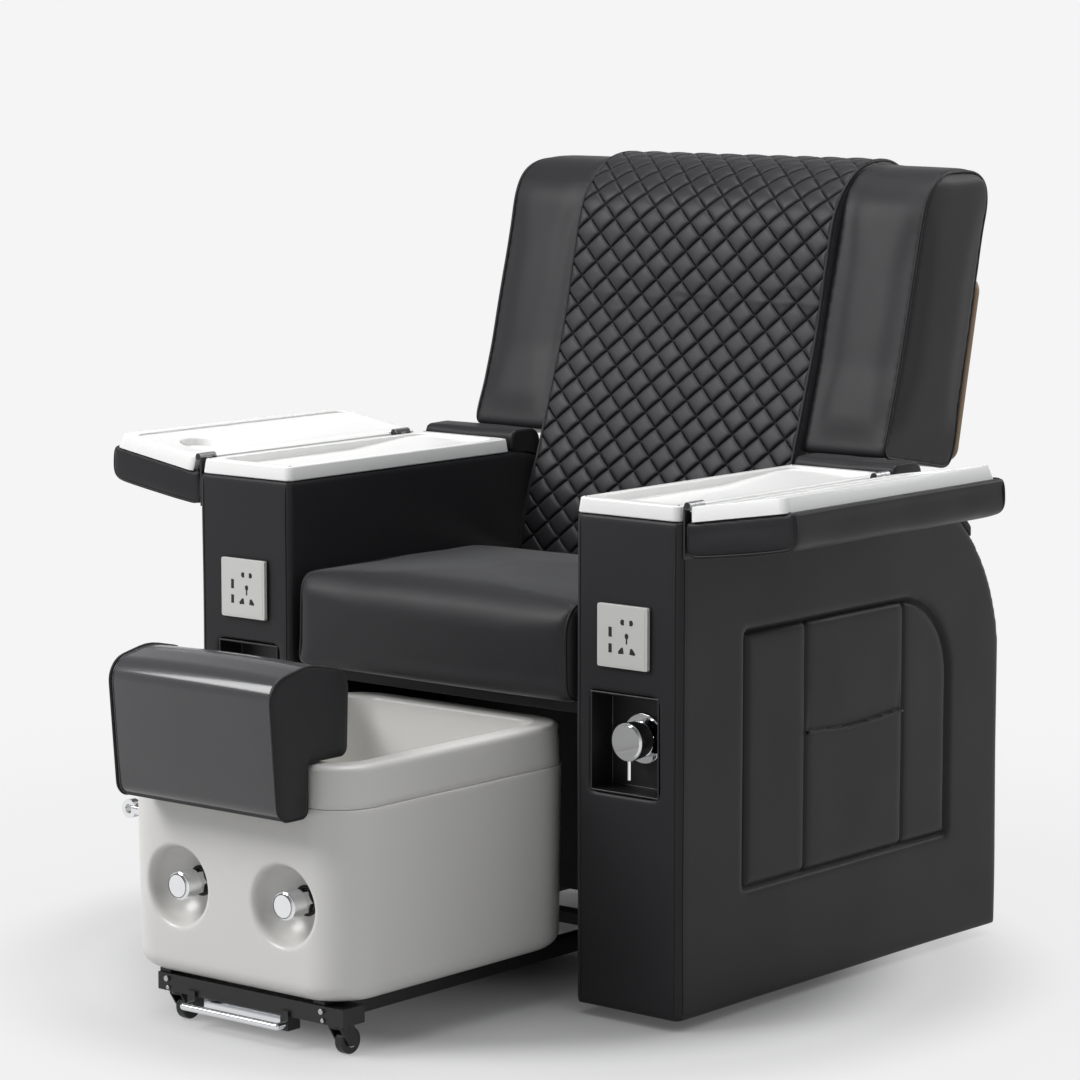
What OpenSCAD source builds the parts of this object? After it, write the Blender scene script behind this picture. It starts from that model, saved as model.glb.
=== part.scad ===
// Pedicure spa chair: two upholstered armrest boxes on a steel base, a reclining massage back,
// fold-out tray armrests and a foot basin on a carriage that rolls in under the seat.
// Heights are above the floor and depths run back from the armrest fronts, in millimetres.

/* [Chair] */
// Clear width between the armrest boxes
seat_gap = 527; // [500:1:560]
// Width of one armrest box
arm_w = 180.5; // [165:0.5:200]
// Depth of an armrest box
arm_d = 775; // [740:1:820]
// Height of an armrest box
arm_h = 679; // [650:1:700]
// Air under the armrest boxes
floor_gap = 15; // [12:1:20]
// Radius of the armrest's rear top corner
arm_rear_r = 290; // [250:1:300]
// Height of the top of the seat cushion
seat_top = 578; // [560:1:590]

/* [Back] */
// Half width of the backrest
back_half_w = 389; // [360:1:400]
// Half width of the quilted centre pad
quilt_half_w = 240; // [220:1:245]
// Across pitch of the quilting diamonds
quilt_pitch_x = 48; // [44:1:60]
// Pitch of the diamonds along the pad
quilt_pitch_s = 46; // [44:1:70]
// Rise of each diamond above its seams
quilt_puff = 8; // [4:1:10]
// How far the back reclines, used to shape the actuator's stroke
recline_deg = 35; // [20:1:35]

/* [Trays] */
// Depth of the fixed trays, front to rear
tray_d = 496; // [470:1:498]
// Thickness of the tray rims
tray_t = 20.5; // [18:0.5:24]
// Tilt of the fold-out trays at rest
flap_tilt = 9; // [6:1:12]
// Width of a fold-out tray across its rim
flap_w = 163; // [140:1:166]
// Thickness of the pad under a fold-out tray
flap_pad_t = 48; // [40:1:55]
// Diameter of the cup recess
cup_d = 74; // [68:1:80]

/* [Basin] */
// Half width of the foot basin
basin_half_w = 208; // [195:1:215]
// Length of the foot basin, front to rear
basin_l = 487; // [440:1:490]
// Height of the basin's rim above the floor
rim_top = 391; // [380:1:395]
// Height of the rim band
rim_band = 58; // [50:1:62]
// Travel of the basin under the seat
basin_travel = 250; // [200:1:250]
// Radius of the round hollows for the valve knobs
dish_r = 53; // [48:1:54]
// Diameter of the caster wheels
caster_d = 36; // [32:1:38]

/* [Hidden] */
$fn = 64;
eps = 0.01;
arc_step = 11.25;
fine_step = 3.75;
big_r = 110;

charcoal = "#2e2e31";
white = "#f2f2f0";
stone = "#bfbdb8";
black_steel = "#1b1b1d";
chrome = "#c9ccd0";
tan = "#8a7762";
plywood = "#c8a878";

gap_half = seat_gap / 2;
arm_out = gap_half + arm_w;
arm_top = floor_gap + arm_h;
wall = 20;
arm_mid = gap_half + arm_w / 2;
arc_y = arm_d - arm_rear_r;
arc_z = arm_top - arm_rear_r;
pivot = [484, 404];
pivot_r = 8;
running = 0.05;
back_rear_y = 730;
back_low_z = 694;
back_rear_slope = 0.219;
front_most = -478;
back_most = 824;
mid_y = (front_most + back_most) / 2;

// Everything is drawn from the armrest fronts; this puts the origin under the middle of the chair.
module place() translate([0, -mid_y, 0]) children();
module sided(side) mirror([side < 0 ? 1 : 0, 0, 0]) children();

// The rounded corner at b between a and c.
function corner_arc(a, b, c, r) =
    let (u = (a - b) / norm(a - b), v = (c - b) / norm(c - b),
         half = acos(u * v) / 2,
         centre = b + (u + v) / norm(u + v) * r / sin(half),
         from = b + u * r / tan(half) - centre,
         to = b + v * r / tan(half) - centre,
         start = atan2(from[1], from[0]),
         swing = atan2(to[1], to[0]) - start,
         turn = swing > 180 ? swing - 360 : swing < -180 ? swing + 360 : swing,
         steps = max(2, ceil(abs(turn) / (r > big_r ? fine_step : arc_step))))
    [for (k = [0:steps]) centre + r * [cos(start + turn * k / steps), sin(start + turn * k / steps)]];
function flat2(p) = [p[0], p[1]];
// Corners given as [across, up, radius].
function rounded(p) = [for (i = [0:len(p) - 1])
    let (n = len(p), a = flat2(p[(i + n - 1) % n]), b = flat2(p[i]), c = flat2(p[(i + 1) % n]))
    each (p[i][2] > 0 ? corner_arc(a, b, c, p[i][2]) : [b])];

module rrect(w, d, r) {
    square([w - 2 * r, d], center = true);
    square([w, d - 2 * r], center = true);
    for (sx = [-1, 1], sy = [-1, 1])
        translate([sx * (w / 2 - r), sy * (d / 2 - r)]) circle(r);
}
// Side view outline (depth, height) drawn out from x0 to x1.
module side_prism(x0, x1) translate([x0, 0, 0]) rotate([90, 0, 90]) linear_extrude(x1 - x0) children();
// Front view outline (across, height) drawn back from y0 to y1.
module front_prism(y0, y1) translate([0, y1, 0]) rotate([90, 0, 0]) linear_extrude(y1 - y0) children();
module box(lo, hi) translate(lo) cube(hi - lo);
module rod_x(x0, x1, y, z, r) translate([x0, y, z]) rotate([0, 90, 0]) cylinder(r = r, h = x1 - x0);
module rod_y(x, y0, y1, z, r) translate([x, y1, z]) rotate([90, 0, 0]) cylinder(r = r, h = y1 - y0);

// ---- Armrest boxes ----
panel_y = [144, 643];
panel_z = [169, 533];
panel_arc = 125;
panel_recess = 12;
niche_x = [290, 408];
niche_z = [315, 453];
niche_depth = 46;
outlet = [351, 532];
outlet_w = 86;
outlet_box = 68;
cross_y = [[345, 375], [620, 650]];
cross_z = [20, 37];
sill_x = [292, 332];

module arm_side(inset, low = floor_gap) polygon(rounded([[inset, low, 0], [arm_d - inset, low, 0],
    [arm_d - inset, arm_top - inset, arm_rear_r - inset], [inset, arm_top - inset, 0]]));
module panel_outline(inset) polygon(rounded([
    [panel_y[0] + inset, panel_z[0] + inset, 8], [panel_y[1] - inset, panel_z[0] + inset, 8],
    [panel_y[1] - inset, panel_z[1] - inset, panel_arc - inset],
    [panel_y[0] + inset, panel_z[1] - inset, 8]]));

module arm(side) place() sided(side) difference() {
    intersection() {
        side_prism(gap_half, arm_out) arm_side(0);
        translate([arm_mid, arm_d / 2, 0]) linear_extrude(arm_top) rrect(arm_w, arm_d, 9);
    }
    side_prism(gap_half + wall, arm_out - wall) arm_side(wall, floor_gap - 1);
    side_prism(arm_out - panel_recess, arm_out + 1) panel_outline(0);
    box([niche_x[0], -1, niche_z[0]], [niche_x[1], wall + 1, niche_z[1]]);
    box([outlet[0] - outlet_box / 2, -1, outlet[1] - outlet_box / 2],
        [outlet[0] + outlet_box / 2, wall + 1, outlet[1] + outlet_box / 2]);
    for (c = cross_y)
        box([gap_half - 1, c[0], floor_gap - 1], [gap_half + wall + 1, c[1], cross_z[1]]);
}
module left_arm() color(charcoal) arm(-1);
module right_arm() color(charcoal) arm(1);

// Raised padded ledge behind the tray, running down the rounded rear corner.
ledge_y = [tray_d + 2, tray_d + 66];
ledge_z = 725;
ledge_skin = 12;
ledge_end = 700;
module ledge_pad(side) place() sided(side) side_prism(gap_half + 1, arm_out - 2) difference() {
    union() {
        polygon(rounded([[ledge_y[0], arm_top, 0], [ledge_y[0], ledge_z, 11],
            [ledge_y[1], ledge_z, 20], [ledge_y[1] + 38, arc_z + 200, 0]]));
        intersection() {
            translate([arc_y, arc_z]) circle(arm_rear_r + ledge_skin, $fn = 128);
            translate([ledge_y[0] + 20, arc_z]) square([ledge_end - ledge_y[0] - 20, arm_h]);
        }
    }
    arm_side(0);
}
module left_ledge_pad() color(charcoal) ledge_pad(-1);
module right_ledge_pad() color(charcoal) ledge_pad(1);

// Padded insert with three channels and a pocket on the middle one.
seam_y = [289, 526];
pocket_z = [182, 372];
pocket_slot = 5;
pocket_skin = 3.5;
channel = 3;
module side_panel(side) place() sided(side) {
    panel_face = arm_out - 0.5;
    back_face = arm_out - panel_recess;
    pocket_back = panel_face - pocket_skin - pocket_slot;
    difference() {
        side_prism(back_face, panel_face) panel_outline(5);
        for (y = seam_y)
            box([panel_face - channel, y - 1.5, 0], [panel_face + 1, y + 1.5, arm_top]);
        box([pocket_back, seam_y[0] + 6, pocket_z[0]],
            [panel_face - pocket_skin, seam_y[1] - 6, pocket_z[1] + 1]);
        box([pocket_back, seam_y[0] + 6, pocket_z[1]],
            [panel_face + 1, seam_y[1] - 6, arm_top]);
    }
}
module left_side_panel() color(charcoal) side_panel(-1);
module right_side_panel() color(charcoal) side_panel(1);

// Flush socket plate: five pin holes, two charging slots and the box behind.
module outlet_plate(side) place() sided(side) difference() {
    union() {
        translate([outlet[0], 0, outlet[1]]) rotate([90, 0, 0]) linear_extrude(7)
            rrect(outlet_w, outlet_w, 3);
        box([outlet[0] - outlet_box / 2, 0, outlet[1] - outlet_box / 2],
            [outlet[0] + outlet_box / 2, 34, outlet[1] + outlet_box / 2]);
    }
    for (s = [-1, 1]) {
        translate([outlet[0] + side * 11 + s * 7, -8, outlet[1] + 12]) cube([2, 18, 7], center = true);
        translate([outlet[0] - 20 * side, -8, outlet[1] + s * 12]) cube([3.5, 18, 12], center = true);
        translate([outlet[0] + side * 11 + s * 7, -8, outlet[1] - 12]) rotate([0, s * 30, 0])
            cube([2, 18, 7], center = true);
    }
    translate([outlet[0] + side * 11, -8, outlet[1] - 1]) cube([2, 18, 8], center = true);
}
module left_outlet() color(white) outlet_plate(-1);
module right_outlet() color(white) outlet_plate(1);

// Moulded pocket let into the armrest front.
liner_t = 3;
mixer = [350, 387];
mixer_body_r = 16;
module niche(side) place() sided(side) difference() {
    box([niche_x[0], 0.5, niche_z[0]], [niche_x[1], niche_depth + liner_t, niche_z[1]]);
    box([niche_x[0] + liner_t, -1, niche_z[0] + liner_t],
        [niche_x[1] - liner_t, niche_depth, niche_z[1] - liner_t]);
    if (side > 0) rod_y(mixer[0], niche_depth - 1, niche_depth + 9, mixer[1], mixer_body_r);
}
module left_niche() color(black_steel) niche(-1);
module right_niche() color(black_steel) niche(1);

// ---- Base ----
foot_y = [90, 700];
module base_frame() color(black_steel) place() difference() {
    union() {
        for (s = [-1, 1]) sided(s)
            box([sill_x[0], 40, floor_gap], [sill_x[1], arm_d - 40, 47]);
        for (c = cross_y)
            box([-sill_x[0], c[0], cross_z[0]], [sill_x[0], c[1], cross_z[1]]);
        for (s = [-1, 1]) sided(s)
            side_prism(act_eye_half, act_eye_half + 6) polygon(rounded([[act_base[0] - 14, cross_z[1], 0],
                [act_base[0] + 14, cross_z[1], 0], [act_base[0] + 14, act_base[1] + 14, 10],
                [act_base[0] - 14, act_base[1] + 14, 10]]));
    }
    rod_x(-40, 40, act_base[0], act_base[1], act_pin_r);
}
module feet() color(black_steel) place()
    for (s = [-1, 1], y = foot_y) translate([s * (sill_x[0] + sill_x[1]) / 2, y, 0]) {
        cylinder(r = 18, h = 8);
        translate([0, 0, 8]) cylinder(r = 6, h = floor_gap - 8);
    }

// Open channels that the carriage rails run in.
rail_x = [132, 152];
rail_z = [43, 67];
rail_rear = 400;
channel_y = [330, 655];
module guide_channels() color(chrome) place() for (s = [-1, 1]) sided(s) difference() {
    box([rail_x[0] - 5.5, channel_y[0], cross_z[1]], [rail_x[1] + 5.5, channel_y[1], rail_z[1] - 2]);
    box([rail_x[0] - 1, channel_y[0] - 1, rail_z[0] - 0.6], [rail_x[1] + 1, channel_y[1] + 1, rail_z[1]]);
}

// Panel behind the basin bay, and the panel that closes the rear between the armrests.
bulkhead_y = [338, 346];
deck_z = [408, 428];
module bulkhead() color(black_steel) place()
    box([-gap_half, bulkhead_y[0], 75], [gap_half, bulkhead_y[1], 398]);
module rear_panel() color(charcoal) place()
    box([-gap_half, arm_d - 18, 22], [gap_half, arm_d - 2, 392]);
module seat_rails() color(black_steel) place() for (s = [-1, 1]) sided(s)
    box([gap_half - 24, 46, 398], [gap_half, 440, deck_z[0]]);
module seat_deck() color(charcoal) place()
    box([-gap_half, 42, deck_z[0]], [gap_half, 448, deck_z[1]]);

// Seat cushion: rounded front, crowned top, sides that draw in towards the corners.
cushion_half = gap_half - 1.5;
cushion_y = [-9, 486];
module seat_cushion() color(charcoal) place() intersection() {
    side_prism(-gap_half, gap_half) polygon(rounded([
        [cushion_y[0] + 5, deck_z[1], 18], [cushion_y[0], seat_top - 8, 55],
        [150, seat_top + 3, 700], [340, seat_top - 8, 600], [cushion_y[1], seat_top - 32, 30],
        [cushion_y[1], deck_z[1], 15]]));
    front_prism(cushion_y[0] - 1, cushion_y[1] + 1) polygon(rounded([
        [-cushion_half, deck_z[1], 14], [cushion_half, deck_z[1], 14],
        [cushion_half, seat_top - 14, 26], [0, seat_top + 1, 900], [-cushion_half, seat_top - 14, 26]]));
    linear_extrude(seat_top + 10) polygon(rounded([
        [-cushion_half + 6, cushion_y[0] + 5, 24], [0, cushion_y[0] - 2, 900],
        [cushion_half - 6, cushion_y[0] + 5, 24], [cushion_half + 1, 240, 900],
        [cushion_half - 4, cushion_y[1], 18], [-cushion_half + 4, cushion_y[1], 18],
        [-cushion_half - 1, 240, 900]]));
}

// ---- Trays ----
tray_top = arm_top + tray_t;
tray_x = [gap_half + 0.5, arm_out - 3.5];
well = 13;
module fixed_tray(side) place() sided(side) difference() {
    translate([(tray_x[0] + tray_x[1]) / 2, tray_d / 2, arm_top]) linear_extrude(tray_t)
        rrect(tray_x[1] - tray_x[0], tray_d, 12);
    intersection() {
        translate([(tray_x[0] + tray_x[1]) / 2, tray_d / 2 + 2, arm_top]) linear_extrude(tray_t + 1)
            rrect(tray_x[1] - tray_x[0] - 28, tray_d - 36, 24);
        side_prism(tray_x[0], tray_x[1]) polygon([[0, tray_top - well], [tray_d - 190, tray_top - well],
            [tray_d - 60, tray_top - 4], [tray_d, tray_top - 4], [tray_d, tray_top + 2],
            [0, tray_top + 2]]);
    }
}
module left_tray() color(white) fixed_tray(-1);
module right_tray() color(white) fixed_tray(1);

// Fold-out trays turn about a pin beside the box; s runs out along the tray, t up from the pin.
flap_axis = [arm_out + 6.5, tray_top + 1.5];
flap_s = 1.5;
flap_y = [0.5, 495.5];
cup_at = [73, 89];
leaf_s = 9;
leaf_reach = 30;
flap_top = flap_axis[1] - tray_top;
hinge_y = [22, 452];
hinge_len = 11;
knuckle_r = 5.5;
hinge_pin_r = 2.5;
module flap_frame(side) place() sided(side) translate([flap_axis[0], 0, flap_axis[1]])
    rotate([0, -flap_tilt, 0]) children();
module flap_tray(side) flap_frame(side) difference() {
    translate([flap_s + flap_w / 2, (flap_y[0] + flap_y[1]) / 2, -flap_top - tray_t]) linear_extrude(tray_t)
        rrect(flap_w, flap_y[1] - flap_y[0], 13);
    translate([flap_s + 8 + flap_w / 2, (flap_y[0] + flap_y[1]) / 2, -flap_top - 3]) linear_extrude(4)
        rrect(flap_w - 42, flap_y[1] - flap_y[0] - 34, 16);
    if (side < 0) translate([cup_at[0], cup_at[1], -flap_top - 14]) cylinder(d = cup_d, h = 20);
    for (y = hinge_y)
        box([-1, y - 1.5 * hinge_len - 1, -flap_top - tray_t - 1],
            [leaf_s - 0.4, y + 1.5 * hinge_len + 1, 1]);
}
module left_flap_tray() color(white) flap_tray(-1);
module right_flap_tray() color(white) flap_tray(1);
pad_top = -flap_top - tray_t;
// The pad hangs straight down beside the box and stands out past the rim.
pad_side = arm_out + 4.5;
pad_out = flap_s + flap_w + 9;
pad_y = [2.5, 505];
function pad_s(t) = (pad_side - flap_axis[0] + t * sin(flap_tilt)) / cos(flap_tilt);
module flap_pad(side) flap_frame(side) difference() {
    intersection() {
        front_prism(pad_y[0], pad_y[1]) polygon(rounded([
            [pad_s(pad_top), pad_top, 0], [pad_s(pad_top - flap_pad_t), pad_top - flap_pad_t, 12],
            [flap_s + flap_w / 2, pad_top - flap_pad_t - 4, 500],
            [pad_out - 3, pad_top - flap_pad_t, 17], [pad_out, pad_top, 3]]));
        side_prism(-40, pad_out + 20) polygon(rounded([
            [pad_y[0], pad_top, 0], [pad_y[0] + 2, pad_top - flap_pad_t - 4, 14],
            [pad_y[1] - 2, pad_top - flap_pad_t - 4, 14], [pad_y[1], pad_top, 3]]));
    }
    for (y = hinge_y)
        box([-40, y - hinge_len - 1, pad_top - 3.2],
            [leaf_s + leaf_reach + 2, y + hinge_len + 1, pad_top + 1]);
}
module left_flap_pad() color(charcoal) flap_pad(-1);
module right_flap_pad() color(charcoal) flap_pad(1);
// Moving leaf: one middle knuckle on an arm, and a plate under the tray.
module flap_leaf(side) flap_frame(side) for (y = hinge_y) difference() {
    union() {
        rod_y(0, y - hinge_len / 2 + 0.3, y + hinge_len / 2 - 0.3, 0, knuckle_r);
        front_prism(y - hinge_len / 2 + 0.3, y + hinge_len / 2 - 0.3)
            polygon([[1, 4.5], [5.4, 0], [leaf_s - 0.5, pad_top], [leaf_s + 2, pad_top],
                [leaf_s + 2, pad_top - 3], [2, pad_top - 3], [-3, -4]]);
        box([leaf_s, y - hinge_len, pad_top - 3], [leaf_s + leaf_reach, y + hinge_len, pad_top]);
    }
    rod_y(0, y - 20, y + 20, 0, hinge_pin_r + running);
}
module left_flap_leaf() color(chrome) flap_leaf(-1);
module right_flap_leaf() color(chrome) flap_leaf(1);
// Fixed leaves with the outer knuckles and the pins, screwed to the box sides.
module flap_hinges() color(chrome) place() for (side = [-1, 1], y = hinge_y) sided(side) difference() {
    union() {
        for (s = [-1, 1])
            rod_y(flap_axis[0], y + s * hinge_len - hinge_len / 2, y + s * hinge_len + hinge_len / 2,
                flap_axis[1], knuckle_r);
        rod_y(flap_axis[0], y - 1.5 * hinge_len, y + 1.5 * hinge_len, flap_axis[1], hinge_pin_r);
        box([arm_out, y - 1.5 * hinge_len, arm_top - 50], [arm_out + 3, y + 1.5 * hinge_len, flap_axis[1]]);
    }
    difference() {
        box([arm_out - 1, y - hinge_len / 2, flap_axis[1] - 9],
            [flap_axis[0] + 9, y + hinge_len / 2, flap_axis[1] + 9]);
        rod_y(flap_axis[0], y - 20, y + 20, flap_axis[1], hinge_pin_r);
    }
}

// ---- Mixer tap in the right niche ----
mixer_pivot_y = 26;
stem_r = 7;
module mixer_escutcheon() color(chrome) place() difference() {
    union() {
        rod_y(mixer[0], 40, niche_depth, mixer[1], 35);
        rod_y(mixer[0], niche_depth - eps, 95, mixer[1], mixer_body_r);
    }
    rod_y(mixer[0], 30, 70, mixer[1], stem_r + running);
}
module mixer_stem() color(chrome) place() union() {
    rod_y(mixer[0], 17, 68, mixer[1], stem_r);
    rod_x(mixer[0] - 16, mixer[0] + 16, mixer_pivot_y, mixer[1], 2.5);
}
module mixer_cap() color(chrome) place() difference() {
    union() {
        rod_y(mixer[0], 6, 30, mixer[1], 26);
        rod_y(mixer[0], 3, 6, mixer[1], 23);
    }
    rod_y(mixer[0], 14, 31, mixer[1], 11);
    rod_x(mixer[0] - 17, mixer[0] + 17, mixer_pivot_y, mixer[1], 2.5 + running);
    translate([mixer[0], 12, mixer[1] - 27]) cylinder(r = 2.5, h = 8);
}
module mixer_pin() color(chrome) place() translate([mixer[0], 12, mixer[1]]) {
    translate([0, 0, -27]) cylinder(r = 2.5, h = 8);
    translate([0, 0, -53]) cylinder(r = 3.5, h = 26.5);
}

// ---- Backrest ----
// Front surface of the quilted pad in side view, bottom to top and over to the rear.
quilt_knots = [[494, 548], [508, 640], [538, 733], [566, 820], [592, 905], [612, 993], [636, 1076],
    [686, 1130], [752, 1146], [806, 1130], [823, 1082], [812, 1030], [801, 984]];
function knot(i) = quilt_knots[max(0, min(len(quilt_knots) - 1, i))];
function spline(i, t) = let (a = knot(i - 1), b = knot(i), c = knot(i + 1), d = knot(i + 2))
    (2 * b + (c - a) * t + (2 * a - 5 * b + 4 * c - d) * t * t + (3 * b - a - 3 * c + d) * t * t * t) / 2;
fine = [for (i = [0:len(quilt_knots) - 2], k = [0:7]) spline(i, k / 8), knot(len(quilt_knots) - 1)];
function run(p, i = 0, s = 0) = i >= len(p) - 1 ? [s]
    : concat([s], run(p, i + 1, s + norm(p[i + 1] - p[i])));
fine_s = run(fine);
path_len = fine_s[len(fine_s) - 1];
path_y = [for (i = [0:len(fine) - 1]) [fine_s[i], fine[i][0]]];
path_z = [for (i = [0:len(fine) - 1]) [fine_s[i], fine[i][1]]];
function on_path(s) = [lookup(s, path_y), lookup(s, path_z)];
function path_dir(s) = let (d = on_path(min(path_len, s + 9)) - on_path(max(0, s - 9))) d / norm(d);
// Positive depth goes into the backrest.
function path_in(s, depth) = on_path(s) + depth * [path_dir(s)[1], -path_dir(s)[0]];

quilt_t = 28;
quilt_cols = 2 * round(quilt_half_w * 2 / quilt_pitch_x);
quilt_rows = 2 * round(path_len / quilt_pitch_s);
// The pad widens at its foot, between the armrests.
quilt_flare = 10;
flare_len = 140;
function half_at(s) = quilt_half_w + quilt_flare * max(0, 1 - s / flare_len);
function quilt_x(i, s) = half_at(s) * (2 * i / quilt_cols - 1);
function quilt_s(j) = path_len * j / quilt_rows;
function puff(i, j) = (i == 0 || i == quilt_cols) ? quilt_puff
    : (i + j) % 2 == 0 ? quilt_puff : 0;
// Seam crossings lie low and diamond middles high, so the seams run along the diagonals.
module quilted_pad() color(charcoal) place() {
    top = [for (j = [0:quilt_rows], i = [0:quilt_cols])
        let (s = quilt_s(j), p = path_in(s, puff(i, j))) [quilt_x(i, s), p[0], p[1]]];
    under = [for (j = [0:quilt_rows], side = [-1, 1])
        let (s = quilt_s(j), p = path_in(s, quilt_t)) [side * half_at(s), p[0], p[1]]];
    w = quilt_cols + 1;
    base = len(top);
    cells = [for (j = [0:quilt_rows - 1], i = [0:quilt_cols - 1])
        let (a = j * w + i, b = a + 1, c = a + w + 1, d = a + w)
        each ((i + j) % 2 == 0 ? [[a, c, b], [a, d, c]] : [[a, d, b], [b, d, c]])];
    rear = [for (j = [0:quilt_rows - 1]) let (a = base + 2 * j)
        each [[a, a + 1, a + 3], [a, a + 3, a + 2]]];
    edges = [for (j = [0:quilt_rows - 1])
        let (l = j * w, r = j * w + quilt_cols, u = base + 2 * j)
        each [[l, u, u + 2], [l, u + 2, l + w], [r, u + 3, u + 1], [r, r + w, u + 3]]];
    last = quilt_rows * w;
    ends = [for (i = [0:quilt_cols - 1]) each [[base, i, i + 1],
        [base + 2 * quilt_rows, last + i + 1, last + i]]];
    caps = [[base, quilt_cols, base + 1],
        [base + 2 * quilt_rows, base + 2 * quilt_rows + 1, last + quilt_cols]];
    polyhedron(concat(top, under), concat(cells, rear, edges, ends, caps));
}

board_t = 12;
board_rows = floor(0.62 * quilt_rows);
unit_z = [740, 889, 1045];
unit_x = 100;
unit_r = 38;
unit_len = 62;
// How far each row stands off the curved pad, bottom row first.
unit_gap = [0.6, 0.6, 9];
function s_at(z, s = 0) = on_path(s)[1] >= z ? s : s_at(z, s + 2);
module at_units(depth, off = 0) for (i = [0:2], sx = [-1, 1]) {
    s = s_at(unit_z[i]);
    p = path_in(s, depth);
    d = path_dir(s);
    translate([sx * unit_x, p[0], p[1]]) rotate([atan2(d[1], d[0]) - 90 - 90, 0, 0])
        translate([0, 0, off * unit_gap[i]]) children();
}
// A strip that follows the quilted pad's curve between two depths.
module path_band(near, far) polygon(concat(
    [for (j = [0:board_rows]) path_in(quilt_s(j), near)],
    [for (j = [board_rows:-1:0]) path_in(quilt_s(j), far)]));
module back_board() color(plywood) place() difference() {
    side_prism(-quilt_half_w + 4, quilt_half_w - 4) path_band(quilt_t, quilt_t + board_t);
    at_units(quilt_t - 10) cylinder(r = unit_r, h = 50);
}
module massage_units() color(black_steel) place() at_units(quilt_t, 1) {
    cylinder(r = unit_r, h = unit_len - max(unit_gap));
    translate([0, 0, board_t]) cylinder(r = unit_r + 6, h = 5);
}
function rear_y(z) = back_rear_y + (z - back_low_z) * back_rear_slope;
back_rail_x = [212, 236];
back_rail_t = 34;
eye_r = 18;
bar_r = 9;
bar_plug = 24;
function bar_at(z) = path_in(s_at(z), quilt_t + board_t + back_rail_t / 2);
bars = [[582, 470], bar_at(822), bar_at(968)];
lug = [548, 470];
module wing_bars(r) for (b = [bars[1], bars[2]])
    rod_x(-back_rail_x[1] - bar_plug, back_rail_x[1] + bar_plug, b[0], b[1], r);
module back_frame() color(black_steel) place() difference() {
    union() {
        for (s = [-1, 1]) sided(s) side_prism(back_rail_x[0], back_rail_x[1]) union() {
            translate(pivot) circle(eye_r);
            polygon([[pivot[0], pivot[1] - eye_r], [594, pivot[1] - eye_r], [588, 560], [537, 560],
                [550, pivot[1] + eye_r], [pivot[0], pivot[1] + eye_r]]);
            path_band(quilt_t + board_t, quilt_t + board_t + back_rail_t);
        }
        rod_x(-back_rail_x[1] + 2, back_rail_x[1] - 2, bars[0][0], bars[0][1], bar_r);
        wing_bars(bar_r);
        for (s = [-1, 1]) sided(s) side_prism(act_eye_half, act_eye_half + 6) polygon(rounded([
            [lug[0] - 12, lug[1] - 13, 10], [bars[0][0], lug[1] - 13, 0],
            [bars[0][0], lug[1] + 13, 0], [lug[0] - 12, lug[1] + 13, 10]]));
    }
    for (s = [-1, 1]) sided(s)
        rod_x(back_rail_x[0] - 1, back_rail_x[1] + 1, pivot[0], pivot[1], pivot_r + running);
    rod_x(-act_eye_half - 7, act_eye_half + 7, lug[0], lug[1], act_pin_r + running);
}
module back_brackets() color(black_steel) place() for (s = [-1, 1]) sided(s) difference() {
    side_prism(gap_half - 10, gap_half) polygon(rounded([
        [pivot[0] - 30, pivot[1] - 45, 12], [pivot[0] + 30, pivot[1] - 45, 12],
        [pivot[0] + 30, pivot[1] + 20, 12], [pivot[0] - 30, pivot[1] + 20, 12]]));
    rod_x(gap_half - 11, gap_half + 1, pivot[0], pivot[1], pivot_r);
}
module back_pivot_bolts() color(chrome) place() for (s = [-1, 1]) sided(s) {
    rod_x(back_rail_x[0] - 8, gap_half, pivot[0], pivot[1], pivot_r);
    rod_x(back_rail_x[0] - 16, back_rail_x[0] - 1, pivot[0], pivot[1], 14);
}
wing_in = quilt_half_w + 1;
module wing(side) place() sided(side) difference() {
    wing_form();
    wing_bars(bar_r);
}
module wing_form() intersection() {
    side_prism(wing_in, back_half_w) polygon(rounded([[552, 725.8, 6], [591, 850, 400], [665, 1138, 88],
        [rear_y(1135), 1136, 46], [back_rear_y, back_low_z, 18]]));
    front_prism(500, 850) polygon(rounded([[wing_in, 680, 0], [back_half_w - 5, 680, 0],
        [back_half_w, 900, 900], [back_half_w - 3, 1138, 26], [wing_in, 1139, 0]]));
}
module left_wing() color(charcoal) wing(-1);
module right_wing() color(charcoal) wing(1);
cover_z = [560, 704, 974];
cover_t = 10;
module rear_cover() color(tan) place() intersection() {
    side_prism(-back_half_w, back_half_w) polygon([
        [rear_y(cover_z[0]), cover_z[0]], [rear_y(cover_z[0]) + cover_t, cover_z[0]],
        [rear_y(cover_z[2]) + cover_t, cover_z[2]], [rear_y(cover_z[2]), cover_z[2]]]);
    front_prism(600, 850) polygon(rounded([
        [-quilt_half_w + 6, cover_z[0], 20], [quilt_half_w - 6, cover_z[0], 20],
        [quilt_half_w - 6, cover_z[1], 0], [back_half_w - 3, cover_z[1], 20],
        [back_half_w - 3, cover_z[2], 24], [-back_half_w + 3, cover_z[2], 24],
        [-back_half_w + 3, cover_z[1], 20], [-quilt_half_w + 6, cover_z[1], 0]]));
}

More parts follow.
